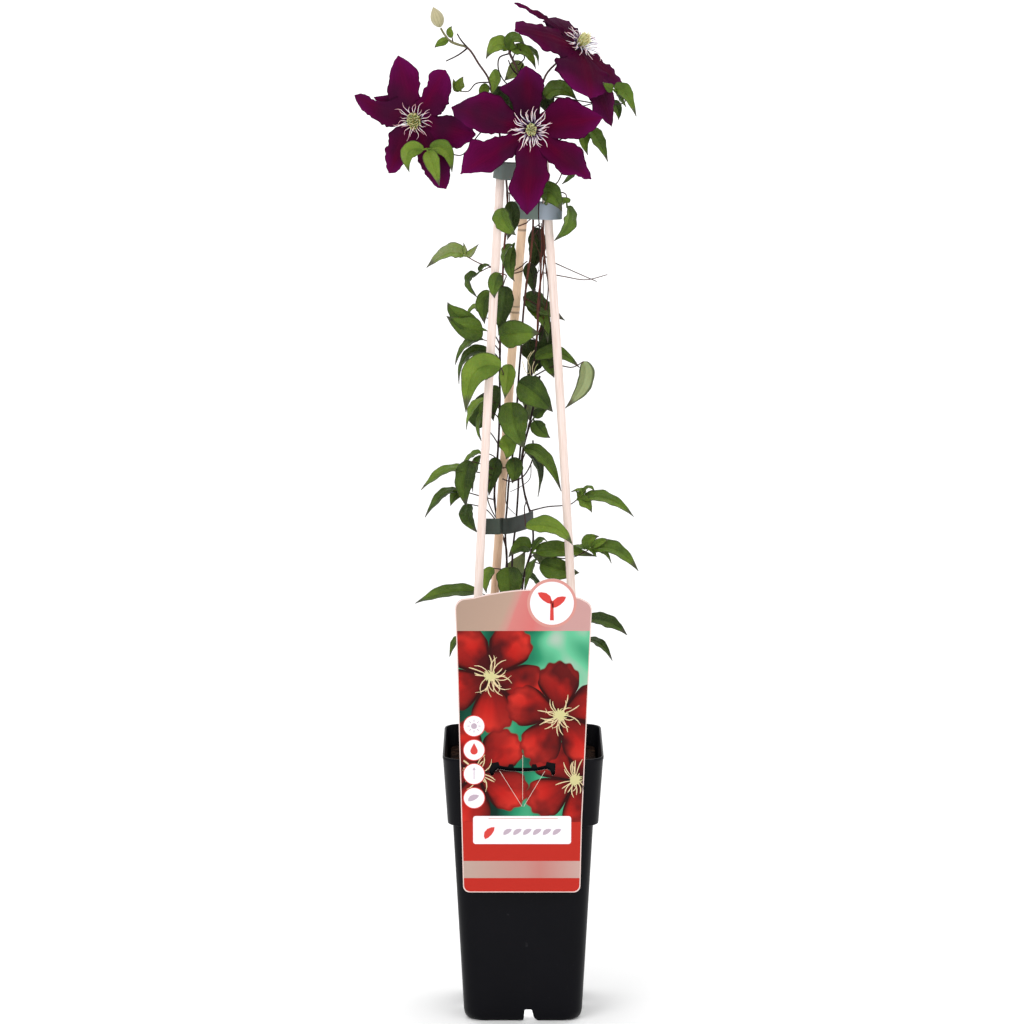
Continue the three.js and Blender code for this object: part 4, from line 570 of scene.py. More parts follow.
def stem_skin():
    """Clematis stem: thin ridged bark, dark where it is woody, red-brown higher up and green at
    the tip; the tone of a point says how old it is."""
    skin, node, spot, flat = new_skin("stem_bark", Roughness=0.6, Specular_IOR_Level=0.15)
    tone = node("Attribute", attribute_name="tone").outputs["Fac"]
    cloud = node("TexNoise", spot, 220.0, 3.0, 0.55)
    worn = node("Math MULTIPLY_ADD", node("Math SUBTRACT", cloud, 0.5), 0.22, tone)
    colour = node("ValToRGB", worn, stops=[
        (0.0, "#221a1c"), (0.2, "#3a2725"), (0.4, "#65382c"), (0.54, "#4a3f40"), (0.7, "#7d7a58"),
        (0.82, "#7b9443"), (0.92, "#7b9443"), (1.0, "#cfc49a")])
    ridges = node("TexWave", flat, 1.2, 1.0, 2.0, bands_direction="X").outputs["Fac"]
    return coat(skin, colour, [], ridges, 0.0002, 0.5)


def filament_skin():
    """Stamen: violet thread at its foot and a flat cream-pink anther from the middle on."""
    skin, node, spot, flat = new_skin("stamen_thread", Roughness=0.55, Specular_IOR_Level=0.15,
                                      Subsurface_Weight=0.15, Subsurface_Scale=0.001)
    tone = node("Attribute", attribute_name="tone").outputs["Fac"]
    along = node("Math ADD", node("SeparateXYZ", flat).outputs[1],
                 node("Math MULTIPLY_ADD", tone, 0.24, -0.12))
    colour = node("ValToRGB", along, stops=[(0.0, "#1f0e38"), (0.2, "#40265f"), (0.36, "#9a88ac"),
                                            (0.5, "#e9dfe4"), (0.75, "#efd9da"), (1.0, "#d8a2aa")])
    return coat(skin, colour, [], node("TexNoise", spot, 1800.0, 2.0, 0.55), 0.0001, 0.6)


def style_skin():
    """Pistil tuft: silky yellow-green threads, browner at the foot."""
    skin, node, spot, flat = new_skin("pistil_silk", Roughness=0.5, Specular_IOR_Level=0.15,
                                      Subsurface_Weight=0.15, Subsurface_Scale=0.001)
    tone = node("Attribute", attribute_name="tone").outputs["Fac"]
    along = node("Math MULTIPLY_ADD", tone, 0.3,
                 node("Math MULTIPLY", node("SeparateXYZ", flat).outputs[1], 0.8))
    colour = node("ValToRGB", along, stops=[(0.0, "#4a4424"), (0.28, "#86884a"), (0.65, "#c2c27c"),
                                            (1.0, "#e2e0ae")])
    return coat(skin, colour, [], node("TexNoise", spot, 1500.0, 2.0, 0.55), 0.0001, 0.6)


def bud_skin():
    """Clematis bud: downy beige-green tepals closed edge to edge, with fine ribs."""
    skin, node, spot, flat = new_skin("bud_down", Roughness=0.75, Specular_IOR_Level=0.25,
                                      Sheen_Weight=0.25, Sheen_Roughness=0.5)
    around, along = node("SeparateXYZ", flat).outputs[:2]
    stripes = node("Math ABSOLUTE", node("Math SINE", node("Math MULTIPLY", around, math.pi * 12)))
    seam = node("ValToRGB", stripes, stops=[(0.0, "#8f8a72"), (0.3, "#b9b290"), (1.0, "#cbc5a5")])
    foot = node("ValToRGB", along, stops=[(0.0, "#8a9468"), (0.22, "#c9c8a8"), (0.8, "#e6dccb"),
                                          (1.0, "#bda793")])
    colour = node("Mix", 1.0, seam, foot, data_type="RGBA", blend_type="MULTIPLY")
    cloud = node("TexNoise", spot, 500.0, 3.0, 0.55)
    relief = node("Math ADD", stripes, node("Math MULTIPLY", cloud, 0.4))
    return coat(skin, colour, [(0.35, "#cfc9a6"), (cloud, 0.25, "#8e8468")], relief, 0.0003, 0.6)


def dowel_wood():
    """Turned softwood dowel: pale and a little pink, straight grain lines about 1 mm apart,
    sawn matt."""
    skin, node, _, flat = new_skin("softwood_dowel", Roughness=0.62, Specular_IOR_Level=0.3)
    stretched = node("Mapping", flat, Scale=(1.0, 0.035, 1.0))
    grain = node("TexNoise", stretched, 900.0, 4.0, 0.6)
    wood = node("ValToRGB", grain, stops=[(0.3, "#d6bfb4"), (0.5, "#e6d5ce"), (0.7, "#eee3df")])
    broad = node("TexNoise", stretched, 160.0, 2.0, 0.55)
    return coat(skin, wood, [(broad, 0.45, "#ecd0c0")], grain, 0.00015, 0.5)


def bamboo_skin():
    """Bamboo cane: hard tan skin with fine long fibres, brown scars at each knot."""
    skin, node, spot, flat = new_skin("bamboo_skin", Roughness=0.42, Specular_IOR_Level=0.4)
    fibre = node("TexNoise", node("Mapping", flat, Scale=(1.0, 0.03, 1.0)), 1100.0, 4.0, 0.6)
    tan = node("ValToRGB", fibre, stops=[(0.3, "#ab8366"), (0.5, "#c79f83"), (0.7, "#dcba9d")])
    blotch = node("TexNoise", spot, 30.0, 3.0, 0.55)
    blotch = node("ValToRGB", blotch, stops=[(0.45, 0.0), (0.7, 0.6)])
    # Cleaner, yellower and lighter towards the top: partly the cane's own colour, partly painted light
    # that lifts the upper cane out of the shade that the blooms and leaves cast on it.
    cleaner_and_painted_light = node("ValToRGB", node("SeparateXYZ", spot).outputs[2],
                 stops=[(0.32, 0.0), (0.46, 0.55), (0.54, 0.85)])
    scar = node("Attribute", attribute_name="tone").outputs["Fac"]
    return coat(skin, tan, [(blotch, "#dfbd9e"), (cleaner_and_painted_light, "#ffdcba"), (scar, "#5f4029")],
                fibre, 0.00006, 0.4)


def strap_plastic(name, left, right, split, scuffs=0.2, turned=None):
    """Strap of soft polyethylene: a slightly see-through grey-green with a dull moulded gloss. Its
    colour changes from left to right at split, in millimetres; on the lower and middle straps
    this change is painted shade and painted highlight."""
    skin, node, spot, _ = new_skin(name, Roughness=0.4, Specular_IOR_Level=0.15,
                                   Subsurface_Weight=0.1, Subsurface_Scale=0.002)
    x = node("SeparateXYZ", spot).outputs[0]
    sideways = node("Math MULTIPLY_ADD", node("Math SUBTRACT", x, split * MM), 400.0, 0.5)
    washes = [(node("TexNoise", spot, 90.0, 3.0, 0.55), scuffs, "#a9b2ae")]
    if turned:
        # The end that turns away from the light gets painted shade.
        away = node("ValToRGB", node("Math MULTIPLY", x, 10.0), stops=[(0.17, 0.0), (0.27, 1.0)],
                    ease=True)
        washes.insert(0, (away, turned))
    return coat(skin, node("ValToRGB", sideways, stops=[(0.0, left), (1.0, right)]), washes,
                node("TexNoise", spot, 700.0, 2.0, 0.55), 0.0001, 0.4)


def pot_plastic():
    """Blown black polypropylene: satin, with a faint grain and a little dust in it."""
    skin, node, spot, _ = new_skin("black_polypropylene", Roughness=0.38, Specular_IOR_Level=0.08)
    cloud = node("TexNoise", spot, 22.0, 4.0, 0.55)
    dust = node("ValToRGB", node("TexNoise", spot, 160.0, 1.0, 0.55), stops=[(0.76, 0.0), (0.8, 1.0)])
    grain = node("TexNoise", spot, 900.0, 2.0, 0.55)
    return coat(skin, "#07070b", [(cloud, "#0b0b10"), (dust, 0.25, "#3a383c")],
                node("Math MULTIPLY_ADD", grain, 0.15, dust), 0.0002, 0.35)


def potting_soil():
    """Potting mix: dark brown peat and coir, matt, with crumbs of about 3 mm."""
    skin, node, spot, _ = new_skin("potting_mix", Roughness=0.95, Specular_IOR_Level=0.05)
    cloud = node("TexNoise", spot, 120.0, 4.0, 0.55)
    brown = node("ValToRGB", cloud, stops=[(0.3, "#120b07"), (0.5, "#241610"), (0.72, "#453020")])
    crumbs = node("Math ADD", node("TexVoronoi", spot, 330.0), cloud)
    return coat(skin, brown, [], crumbs, 0.0015, 0.9)


def flower_print(node, x, z, blossom, under, shade):
    """Prints a frilled round-petalled blossom over a colour: (x, z, reach, turn, petals)."""
    middle_x, middle_z, reach, turn, petals = blossom
    dx, dz = node("Math SUBTRACT", x, middle_x), node("Math SUBTRACT", z, middle_z)
    away = node("Math SQRT", node("Math ADD", *(node("Math MULTIPLY", d, d) for d in (dx, dz))))
    angle = node("Math ADD", node("Math ARCTAN2", dz, dx), turn)
    swing = node("Math ABSOLUTE", node("Math COSINE", node("Math MULTIPLY", angle, petals / 2)))
    lobe = node("Math POWER", swing, 0.4)
    frill = node("Math MULTIPLY", node("Math SINE", node("Math MULTIPLY", angle, 31.0)), 0.02)
    edge = node("Math ADD", node("Math MULTIPLY_ADD", lobe, 0.58, 0.42), frill)
    share = node("Math DIVIDE", away, node("Math MULTIPLY", edge, reach))
    red = node("ValToRGB", share, stops=[(0.06, "#2a0407"), (0.28, "#740f0e"), (0.6, "#b31c15"),
                                         (0.88, "#c62c22"), (1.0, "#7c100f")])
    # One half of each petal lies in its own shade, and there is a fold between two petals.
    lee = node("Math SINE", node("Math MULTIPLY", angle, float(petals)))
    lee = node("ValToRGB", node("Math MULTIPLY_ADD", lee, 0.5, 0.5), stops=[(0.35, 0.0), (0.8, 0.55)])
    sided = node("Mix", lee, red, "#6a1010", data_type="RGBA")
    fold = node("ValToRGB", lobe, stops=[(0.5, "#4a1a18"), (0.74, "#d8d0d0"), (0.95, "#ffffff")])
    petal = node("Mix", 1.0, sided, fold, data_type="RGBA", blend_type="MULTIPLY")
    shadowed = node("Mix", shade, petal, "#36060a", data_type="RGBA")
    inside = node("ValToRGB", share, stops=[(0.97, 1.0), (1.0, 0.0)])
    return node("Mix", inside, under, shadowed, data_type="RGBA")


def label_card():
    """Laminated picture card: offset print under a thin glossy film."""
    skin, node, spot, _ = new_skin("printed_card", Roughness=0.4, Specular_IOR_Level=0.12)
    metres = node("SeparateXYZ", spot).outputs
    x, z = (node("Math MULTIPLY", metres[axis], 1000.0) for axis in (0, 2))
    # Blurred garden behind the blossoms.
    blur = node("TexNoise", spot, 24.0, 1.0, 0.4)
    picture = node("ValToRGB", node("Math MULTIPLY_ADD", x, 0.0016, blur), stops=[
        (0.36, "#04261d"), (0.48, "#0d5a43"), (0.58, "#2a8a63"), (0.68, "#63b98f"), (0.8, "#c9bcbc")])
    shade = node("TexNoise", spot, 38.0, 2.0, 0.55)
    shade = node("ValToRGB", shade, stops=[(0.5, 0.0), (0.68, 0.85)])
    for blossom in BLOSSOMS:
        picture = flower_print(node, x, z, blossom, picture, shade)
    # Header: beige on the left, salmon from a slanting edge on, dusty again at the far right.
    veil = node("Math MULTIPLY_ADD", node("TexNoise", spot, 14.0, 1.0, 0.4), 22.0, x)
    slant = node("Math MULTIPLY_ADD", node("Math MULTIPLY_ADD", z, -0.4, veil), 0.01, 1.84)
    header = node("ValToRGB", slant, stops=[
        (0.0, "#a58c7c"), (0.4, "#b09483"), (0.47, "#c08c82"), (0.5, "#c97b76"), (0.7, "#cb706d"),
        (0.95, "#c09490")])
    # Foot: red, with a dusty band across it.
    band = node("Math MULTIPLY", node("Math GREATER_THAN", z, BAND_LOW),
                node("Math LESS_THAN", z, BAND_HIGH))
    dusty = node("ValToRGB", node("Math MULTIPLY_ADD", x, 0.009, 0.5), stops=[
        (0.1, "#b59b90"), (0.5, "#bb8880"), (0.62, "#bb7a73"), (0.9, "#be9b93")])
    foot = node("Mix", band, "#b5281e", dusty, data_type="RGBA")
    washes = [
        (node("Math GREATER_THAN", z, PANEL_HIGH), header),
        (node("Math LESS_THAN", z, PANEL_LOW), foot),
        # The card's back is plain board.
        (node("Math GREATER_THAN", metres[1], (LABEL_Y + LABEL_THICKNESS / 2) * MM), "#d9d0c9"),
    ]
    return coat(skin, picture, washes, node("TexNoise", spot, 12.0, 1.0, 0.55), 0.0006, 0.3)


def flat_ink(name, code):
    """Spot-colour ink on the card, with the slight mottle of a print on coated board."""
    skin, node, spot, _ = new_skin(name, Roughness=0.4, Specular_IOR_Level=0.3)
    cloud = node("TexNoise", spot, 60.0, 2.0, 0.55)
    return coat(skin, code, [(cloud, 0.05, "#000000")],
                node("TexNoise", spot, 1200.0, 1.0, 0.55), 0.00003, 0.3)


def floor_paper():
    """Seamless studio paper: matt and nearly white."""
    skin, node, spot, _ = new_skin("studio_paper", Roughness=0.9, Specular_IOR_Level=0.1)
    return coat(skin, "#fafafa", [(node("TexNoise", spot, 3.0, 2.0, 0.55), 0.03, "#e6e6e6")])


# Print on the card: heights of its bands, and blossoms as (x, z, reach, turn, petals).
PANEL_HIGH, PANEL_LOW, BAND_HIGH, BAND_LOW = 331.3, 173.3, 140.8, 126.5
BLOSSOMS = [
    (-38.0, 214.0, 46.0, 0.5, 5), (42.0, 208.0, 44.0, 0.1, 5), (-26.0, 294.0, 47.0, 0.25, 5),
    (30.0, 262.0, 45.0, 0.9, 5),
]

LEAF = leaf_faces()
TEPAL = tepal_faces()
BARK = stem_skin()


# ------------------------------------------------------------------ shaping
def new_shape():
    """An empty mesh with a UV map and a tone for each point."""
    bm = bmesh.new()
    bm.loops.layers.uv.new("UVMap")
    bm.verts.layers.float.new("tone")
    return bm


def sheet(bm, columns, rows, place, tone=0.5, closed=False, scale=(1.0, 1.0)):
    """A grid whose points go to place(u, row), u from 0 to 1 across and row from 0 to rows."""
    made = bmesh.ops.create_grid(bm, x_segments=columns, y_segments=rows, size=1)["verts"]
    uv = bm.loops.layers.uv.active
    tones = bm.verts.layers.float["tone"]
    spots = {v: ((v.co.x + 1) / 2, (v.co.y + 1) / 2) for v in made}
    for face in {f for v in made for f in v.link_faces}:
        face.smooth = True
        for loop in face.loops:
            u, v = spots[loop.vert]
            loop[uv].uv = (u * scale[0], v * scale[1])
    for vert, (u, v) in spots.items():
        vert.co = place(u, round(v * rows))
        vert[tones] = tone(u, v) if callable(tone) else tone
    if closed:
        bmesh.ops.remove_doubles(bm, verts=made, dist=1e-7)


def smooth_line(points, per_span=8):
    """Points of a smooth curve through the given ones, in metres."""
    given = [Vector(p) * MM for p in points]
    given = [2 * given[0] - given[1], *given, 2 * given[-1] - given[-2]]
    line = []
    for a, b, c, d in zip(given, given[1:], given[2:], given[3:]):
        ab, bc, cd = (math.sqrt(max((q - p).length, 1e-9)) for p, q in ((a, b), (b, c), (c, d)))
        out = ((b - a) / ab - (c - a) / (ab + bc) + (c - b) / bc) * bc
        into = ((c - b) / bc - (d - b) / (bc + cd) + (d - c) / cd) * bc
        for i in range(per_span):
            t = i / per_span
            line.append(b * (2 * t**3 - 3 * t**2 + 1) + out * (t**3 - 2 * t**2 + t)
                        + c * (3 * t**2 - 2 * t**3) + into * (t**3 - t**2))
    line.append(given[-2])
    return line


def even_points(line, count):
    """count + 1 points spaced evenly along a line."""
    reach = [0.0]
    for p, q in zip(line, line[1:]):
        reach.append(reach[-1] + (q - p).length)
    out, k = [], 0
    for i in range(count + 1):
        goal = reach[-1] * i / count
        while k < len(line) - 2 and reach[k + 1] < goal:
            k += 1
        span = reach[k + 1] - reach[k]
        out.append(line[k].lerp(line[k + 1], (goal - reach[k]) / span if span else 0.0))
    return out


def strand(bm, line, radius, rows, tone, sides=6, flat=1.0, side=None):
    """A closed strand along a line; radius is in metres at each share of its length, and flat
    is its thickness as a share of its width, which lies along side."""
    points = even_points(line, rows)
    frames = []
    across = side or Vector((0.31, 0.87, 0.38))
    for i, here in enumerate(points):
        ahead = (points[min(i + 1, rows)] - points[max(i - 1, 0)]).normalized()
        across = (across - ahead * across.dot(ahead)).normalized()
        frames.append((here, across, ahead.cross(across)))
    wide = radius if callable(radius) else lambda share: radius

    def place(u, row):
        index = min(max(row - 1, 0), rows)
        here, out, up = frames[index]
        if row in (0, rows + 2):
            return here
        turn = 2 * math.pi * u
        r = wide(index / rows)
        return here + out * (r * math.cos(turn)) + up * (r * flat * math.sin(turn))

    sheet(bm, sides, rows + 2, place, tone, closed=True)


def of_kind(geometry, kind):
    """The points, edges or faces among what an operator returns."""
    return [g for g in geometry if isinstance(g, kind)]


def plate(bm, outlines, front, thickness, material=0):
    """A flat plate that faces -Y: the first outline is its edge and the others are holes."""
    edges = []
    for outline in outlines:
        ring = bmesh.ops.create_circle(bm, segments=len(outline), radius=1)["verts"]
        ring.sort(key=lambda v: math.atan2(v.co.y, v.co.x))
        edges += dict.fromkeys(e for v in ring for e in v.link_edges)
        for v, (x, z) in zip(ring, outline):
            v.co = Vector((x, front, z)) * MM
    filled = bmesh.ops.triangle_fill(bm, use_beauty=True, edges=edges, normal=(0, -1, 0))["geom"]
    faces = of_kind(filled, bmesh.types.BMFace)
    grown = bmesh.ops.extrude_face_region(bm, geom=faces)["geom"]
    bmesh.ops.translate(bm, verts=of_kind(grown, bmesh.types.BMVert), vec=(0, thickness * MM, 0))
    made = dict.fromkeys(f for g in faces + of_kind(grown, bmesh.types.BMFace) if g.is_valid
                         for v in g.verts for f in v.link_faces)
    bmesh.ops.recalc_face_normals(bm, faces=list(made))
    for face in made:
        face.material_index = material


def new_object(name, bm, materials):
    """Makes an object of a shape and frees the shape."""
    mesh = bpy.data.meshes.new(name)
    bm.to_mesh(mesh)
    bm.free()
    for material in materials:
        mesh.materials.append(material)
    made = bpy.data.objects.new(name, mesh)
    bpy.context.scene.collection.objects.link(made)
    return made


def finish_piece(name, bm, materials, node, thickness=None):
    """Makes an object of the shape; it rides on the plant and stands for its node."""
    piece = new_object(name, bm, materials)
    if thickness:
        shell = piece.modifiers.new("thickness", "SOLIDIFY")
        shell.thickness = thickness * MM
        shell.offset = 0.0
        shell.material_offset = len(materials) - 1
    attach(piece, "root")
    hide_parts(node)
    return piece


# ------------------------------------------------------------------ leaves and stems
def arch(start, middle, end, t):
    """Point at a share of the way along an arch that passes through its middle."""
    control = 2 * middle - 0.5 * start - 0.5 * end
    return (1 - t) ** 2 * start + 2 * t * (1 - t) * control + t * t * end


def arch_frame(start, middle, end, facing, t):
    """Point of an arch with the directions to its left and upwards."""
    ahead = (arch(start, middle, end, t + 0.01) - arch(start, middle, end, t - 0.01)).normalized()
    across = facing.cross(ahead).normalized()
    return arch(start, middle, end, t), across, ahead.cross(across)


# Where a leaf is widest; shares of its half width that it folds up, sinks between its veins, and
# that its margin waves, ripples, swells and juts out in corners.
WIDEST = 0.38
LEAF_FOLD, LEAF_HOLLOW, LEAF_WAVE, LEAF_RIPPLE = 0.26, 0.05, 0.1, 0.06
LEAF_SWELL, LEAF_CORNERS = 0.1, 0.07
# Millimetres.
LEAF_TIP_RADIUS, LEAFLET_STALK_RADIUS, TENDRIL_RADIUS, BLOOM_STALK_RADIUS = 0.12, 0.5, 0.48, 0.9
LEAF_THICKNESS, TEPAL_THICKNESS, TONGUE_THICKNESS = 0.5, 0.45, 0.6
# Metres: how far a stem swells above and below a knot, and the heights at which its bark changes.
KNOT_REACH = 0.0016
RUDDY_HEIGHT, RUDDY_REACH, GREY_ABOVE, GREEN_ABOVE = 0.63, 0.09, 0.7, 0.795


def leaf_spread(t):
    """Half width along a leaf as a share of its greatest: round base, drawn-out tip."""
    if t < WIDEST:
        return math.sqrt(max(0.0, 1 - (1 - t / WIDEST) ** 2))
    return (1 - ((t - WIDEST) / (1 - WIDEST)) ** 1.6) ** 1.1


def crinkle(seed, place):
    """A random zigzag with a corner at every whole number."""
    first = math.floor(place)
    low, high = (noise.noise((seed, 1.7 * (first + k) + 0.3, 0.5)) for k in (0, 1))
    return low + (high - low) * (place - first)


def blade(bm, hub, leaflet, tone, trim, stalk):
    """A leaflet folded up a little along its vein, with a waved margin and a turned tip; stalk is
    the share of its way that is bare."""
    middle, tip, width, facing = leaflet
    start, mid, end = (Vector(p) * MM for p in (hub, middle, tip))
    if stalk:
        foot = start.lerp(mid, stalk)
        strand(bm, [start, start.lerp(foot, 0.5), foot.lerp(mid, 0.1)],
               LEAFLET_STALK_RADIUS * MM, rows=4, tone=tone)
        start = foot
    width *= trim
    columns, rows = (14, 26) if width > 10 else (10, 18)
    phase, twist = rng.uniform(0, 6.28), rng.uniform(-0.22, 0.22)
    frames = []
    for row in range(rows + 1):
        t = (row / rows) ** 1.15
        here, across, up = arch_frame(start, mid, end, Vector(FACING[facing]).normalized(), t)
        turn = Quaternion(across.cross(up), twist * t * t)
        foot_width = PETIOLE_RADIUS * 0.7 * (1 - t) + LEAF_TIP_RADIUS * t
        half = max(width / 2 * leaf_spread(t), foot_width) * MM
        margins = [1 + LEAF_SWELL * noise.noise((phase + 7 * k, 6 * t, 1))
                   + LEAF_CORNERS * crinkle(phase + 3 * k, 15 * t) for k in (0, 1)]
        frames.append((here, turn @ across, turn @ up, half, margins, t))

    def place(u, row):
        here, across, up, half, margins, t = frames[row]
        s = 1 - 2 * u
        half = half * (1 + (margins[s > 0] - 1) * s * s)
        fold = LEAF_FOLD * abs(s) ** 1.35 - LEAF_HOLLOW * math.cos(3 * math.pi * s) * (1 - abs(s))
        wave = LEAF_WAVE * s * s * math.sin(9.5 * t + phase + (1.6 if s > 0 else 0.0))
        ripple = LEAF_RIPPLE * s * s * math.sin(25 * t + 2 * phase + s)
        return here + across * (half * s * (1 - 0.06 * abs(s))) + up * (half * (fold + wave + ripple))

    sheet(bm, columns, rows, place, tone)


def stem_point(points, z):
    """The highest point of a route at a height, or its end."""
    for low, high in zip(points[-2::-1], points[::-1]):
        if low[2] <= z <= high[2]:
            t = (z - low[2]) / (high[2] - low[2])
            return [a + t * (b - a) for a, b in zip(low, high)]
    return points[-1]


def vine_age(z):
    """Tone of bark at a height in metres: woody low down, red-brown, grey-brown, then green."""
    if z > GREY_ABOVE:
        return 0.5 if z < GREEN_ABOVE else 0.68
    return 0.1 + 0.3 * max(0.0, 1 - abs(z - RUDDY_HEIGHT) / RUDDY_REACH)


def coil_route(z, rise):
    """A turn and a bit round the bamboo at a height, with a loose end."""
    low, head = (Vector(CANES["bamboo"][end]) for end in ("low", "top"))
    share = (z - CANE_FOOT_Z) / (head.z - CANE_FOOT_Z)
    axis = low.lerp(head, (z - low.z) / (head.z - low.z))
    axis.x += CANE_BOWS["bamboo"] * math.sin(math.pi * share)
    out = BAMBOO_RADIUS + 0.4
    turns = [2 * math.pi * k / 9 for k in range(1, 11)]
    coil = [axis + Vector((out * math.cos(a), out * math.sin(a), rise * math.cos(a) - 0.1 * a))
            for a in turns]
    return [*coil, axis + Vector((out + 3, 3, rise + 2))]


def thinning(radius):
    """Radius along a tendril that ends thinner than it starts."""
    return lambda s: radius * (1 - 0.3 * s) * MM


for name, points in STEMS.items():
    wood = new_shape()
    rows = len(points) * 7
    line = even_points(smooth_line(points, 10), rows)
    knots = sorted({row[0] * MM for row in LEAVES[name]})

    def vine_height(share, line=line):
        """Height in metres at a share of the stem's length."""
        return line[round(min(max(share, 0.0), 1.0) * (len(line) - 1))].z

    def vine_radius(share, knots=knots, height=vine_height):
        """A stem is a little thicker where leaves spring from it."""
        z = height(share)
        swell = sum(math.exp(-((z - k) / KNOT_REACH) ** 2) for k in knots)
        return (0.8 * STEM_RADIUS + 0.25 * min(swell, 1.0)) * MM

    def vine_tone(_, v, rows=rows, height=vine_height):
        """Tone of the bark at a share of the way along the strand's grid."""
        return vine_age(height((v * (rows + 2) - 1) / rows))

    strand(wood, line, vine_radius, sides=8, rows=rows, tone=vine_tone)
    for bloom in (b for b in BLOOMS.values() if b["stem"] == name):
        back = Vector(bloom["centre"]) - 1.6 * Vector(bloom["faces"]).normalized()
        path = [stem_point(points, bloom["stalkZ"]), *bloom["stalk"], list(back)]
        strand(wood, smooth_line(path), BLOOM_STALK_RADIUS * MM, sides=8, rows=24, tone=0.5)
    for radius, path in SHOOTS.get(name, []):
        # Long bare stalks that reach out to the right are thin and ruddy; the others are tendrils.
        far = path[-1][0] > 50
        age = 0.5 if far else 0.4 if 500 < path[0][2] < 660 else 0.12
        strand(wood, smooth_line(path), thinning(radius * (0.62 if far else 0.85)), rows=22, tone=age)
    for radius, tone, path in RUNNERS.get(name, []):
        strand(wood, smooth_line(path), thinning(radius), sides=5, rows=18, tone=tone)
    if name == "right":
        for z, rise in COILS:
            strand(wood, smooth_line(coil_route(z, rise)), TENDRIL_RADIUS * MM, rows=40, tone=0.3)
    foliage = new_shape()
    for index, (leaf, light) in enumerate(zip(LEAVES[name], LEAF_TONES_AND_SHEEN[name], strict=True)):
        z, bends, hub, leaflets = leaf
        path = smooth_line([stem_point(points, z), *bends, hub])
        # Stalks are ruddy in the middle of the plant, and pale at the leaf.
        ruddy = 0.24 if 540 < z < 700 else 0.08
        strand(wood, path, lambda s: PETIOLE_RADIUS * (0.8 - 0.2 * s) * MM, rows=10 + 5 * len(bends),
               tone=lambda u, v, ruddy=ruddy: 0.14 + ruddy * v + 0.4 * max(0.0, v - 0.85))
        trim = LEAF_TRIMS.get((name, index), 1.0)
        for leaflet in leaflets:
            blade(foliage, hub, leaflet, light + rng.uniform(-0.06, 0.06), trim,
                  0.16 if len(leaflets) > 1 else 0.0)
    finish_piece(f"{name}_stem_wood", wood, [BARK], f"stem_{name}")
    finish_piece(f"{name}_stem_leaves", foliage, LEAF, f"stem_{name}",
                 thickness=LEAF_THICKNESS)


# ------------------------------------------------------------------ blooms
def width_at(table, t, ends):
    """Half width of a tepal at t from its table of widths, rounded between the stations."""
    places = [0.03, *TEPAL_STATIONS, 1.0]
    widths = [ends[0], *table, ends[1]]
    if t <= places[0]:
        return widths[0] * (0.6 + 0.4 * t / places[0])
    i = next(k for k in range(len(places) - 1) if t <= places[k + 1])
    w0, w1, w2, w3 = (widths[min(max(k, 0), len(widths) - 1)] for k in range(i - 1, i + 3))
    s = (t - places[i]) / (places[i + 1] - places[i])
    return max(0.3, 0.5 * (2 * w1 + (w2 - w0) * s + (2 * w0 - 5 * w1 + 4 * w2 - w3) * s * s
                           + (3 * w1 - w0 - 3 * w2 + w3) * s**3))


# Tepals, in millimetres: half widths at foot and tip, depth of the grooves, height of the ruffles
# and of the fine frill over them, depth of the nicks, and the step between two layers.
TEPAL_ENDS = (3.5, 0.4)
GROOVE_DEPTH, RUFFLE_HEIGHT, FRILL_HEIGHT, NICK_DEPTH, LAYER_STEP = 0.45, 1.5, 0.8, 2.2, 0.35


def tepal(bm, bloom, index, row, painted_shade):
    """One tepal: grooved along its bar, ruffled and nicked at its margin, with a fine tip."""
    tip, bow, lefts, rights = row
    facing = Vector(bloom["faces"]).normalized()
    centre, end = Vector(bloom["centre"]) * MM, Vector(tip) * MM
    middle = (centre + end) / 2 + facing * bow * MM
    layer = LAYER_STEP if index % 2 else -LAYER_STEP
    columns, rows = 26, 64
    seed = 7.3 * index + 31 * sum(bloom["centre"])
    frames = []
    for k in range(rows + 1):
        t = k / rows
        here, across, up = arch_frame(centre, middle, end, facing, t)
        sides = [width_at(table, t, TEPAL_ENDS) for table in (lefts, rights)]
        fuller = 1 + 0.1 * math.exp(-((t - 0.2) / 0.15) ** 2)
        sides = [max(0.25, w * (fuller + 0.2 * crinkle(seed + side * 9, t * 9)) + NICK_DEPTH
                     * min(1.0, 2 * t) * crinkle(seed + side * 5, t * 27) * (1 - t) ** 0.4)
                 for side, w in enumerate(sides)]
        frames.append((here, across, up, sides, t))

    def place(u, row):
        here, across, up, (left, right), t = frames[row]
        s = 1 - 2 * u
        half = left if s > 0 else right
        grown = min(1.0, t / 0.25)
        groove = -GROOVE_DEPTH * sum(math.exp(-(((s * half) - c * half * 0.3) / 0.9) ** 2)
                                     for c in (-1, 0, 1))
        ruffle = RUFFLE_HEIGHT * s * s * abs(s) * math.sin(21 * t + seed + (2.0 if s > 0 else 0.0))
        ruffle += FRILL_HEIGHT * s**4 * math.sin(46 * t + 1.7 * seed)
        droop = -0.07 * half * s * s
        crown = 0.5 * math.cos(s * math.pi / 2)
        rise = layer + crown + grown * (groove * (1 - t) ** 0.5 + ruffle * (1 - 0.6 * t) + droop)
        return here + across * (s * half * MM) + up * (rise * MM)

    sheet(bm, columns, rows, place,
          tone=lambda u, v: 0.25 + 0.5 * noise.noise((seed, u * 2, v * 2)) + 0.25 * v - painted_shade)


def rising_along(start, direction):
    """Turns and moves a shape that rises along +Z so that it rises from a point, in millimetres."""
    turn = Vector((0, 0, 1)).rotation_difference(direction).to_matrix().to_4x4()
    return Matrix.Translation(start * MM) @ turn


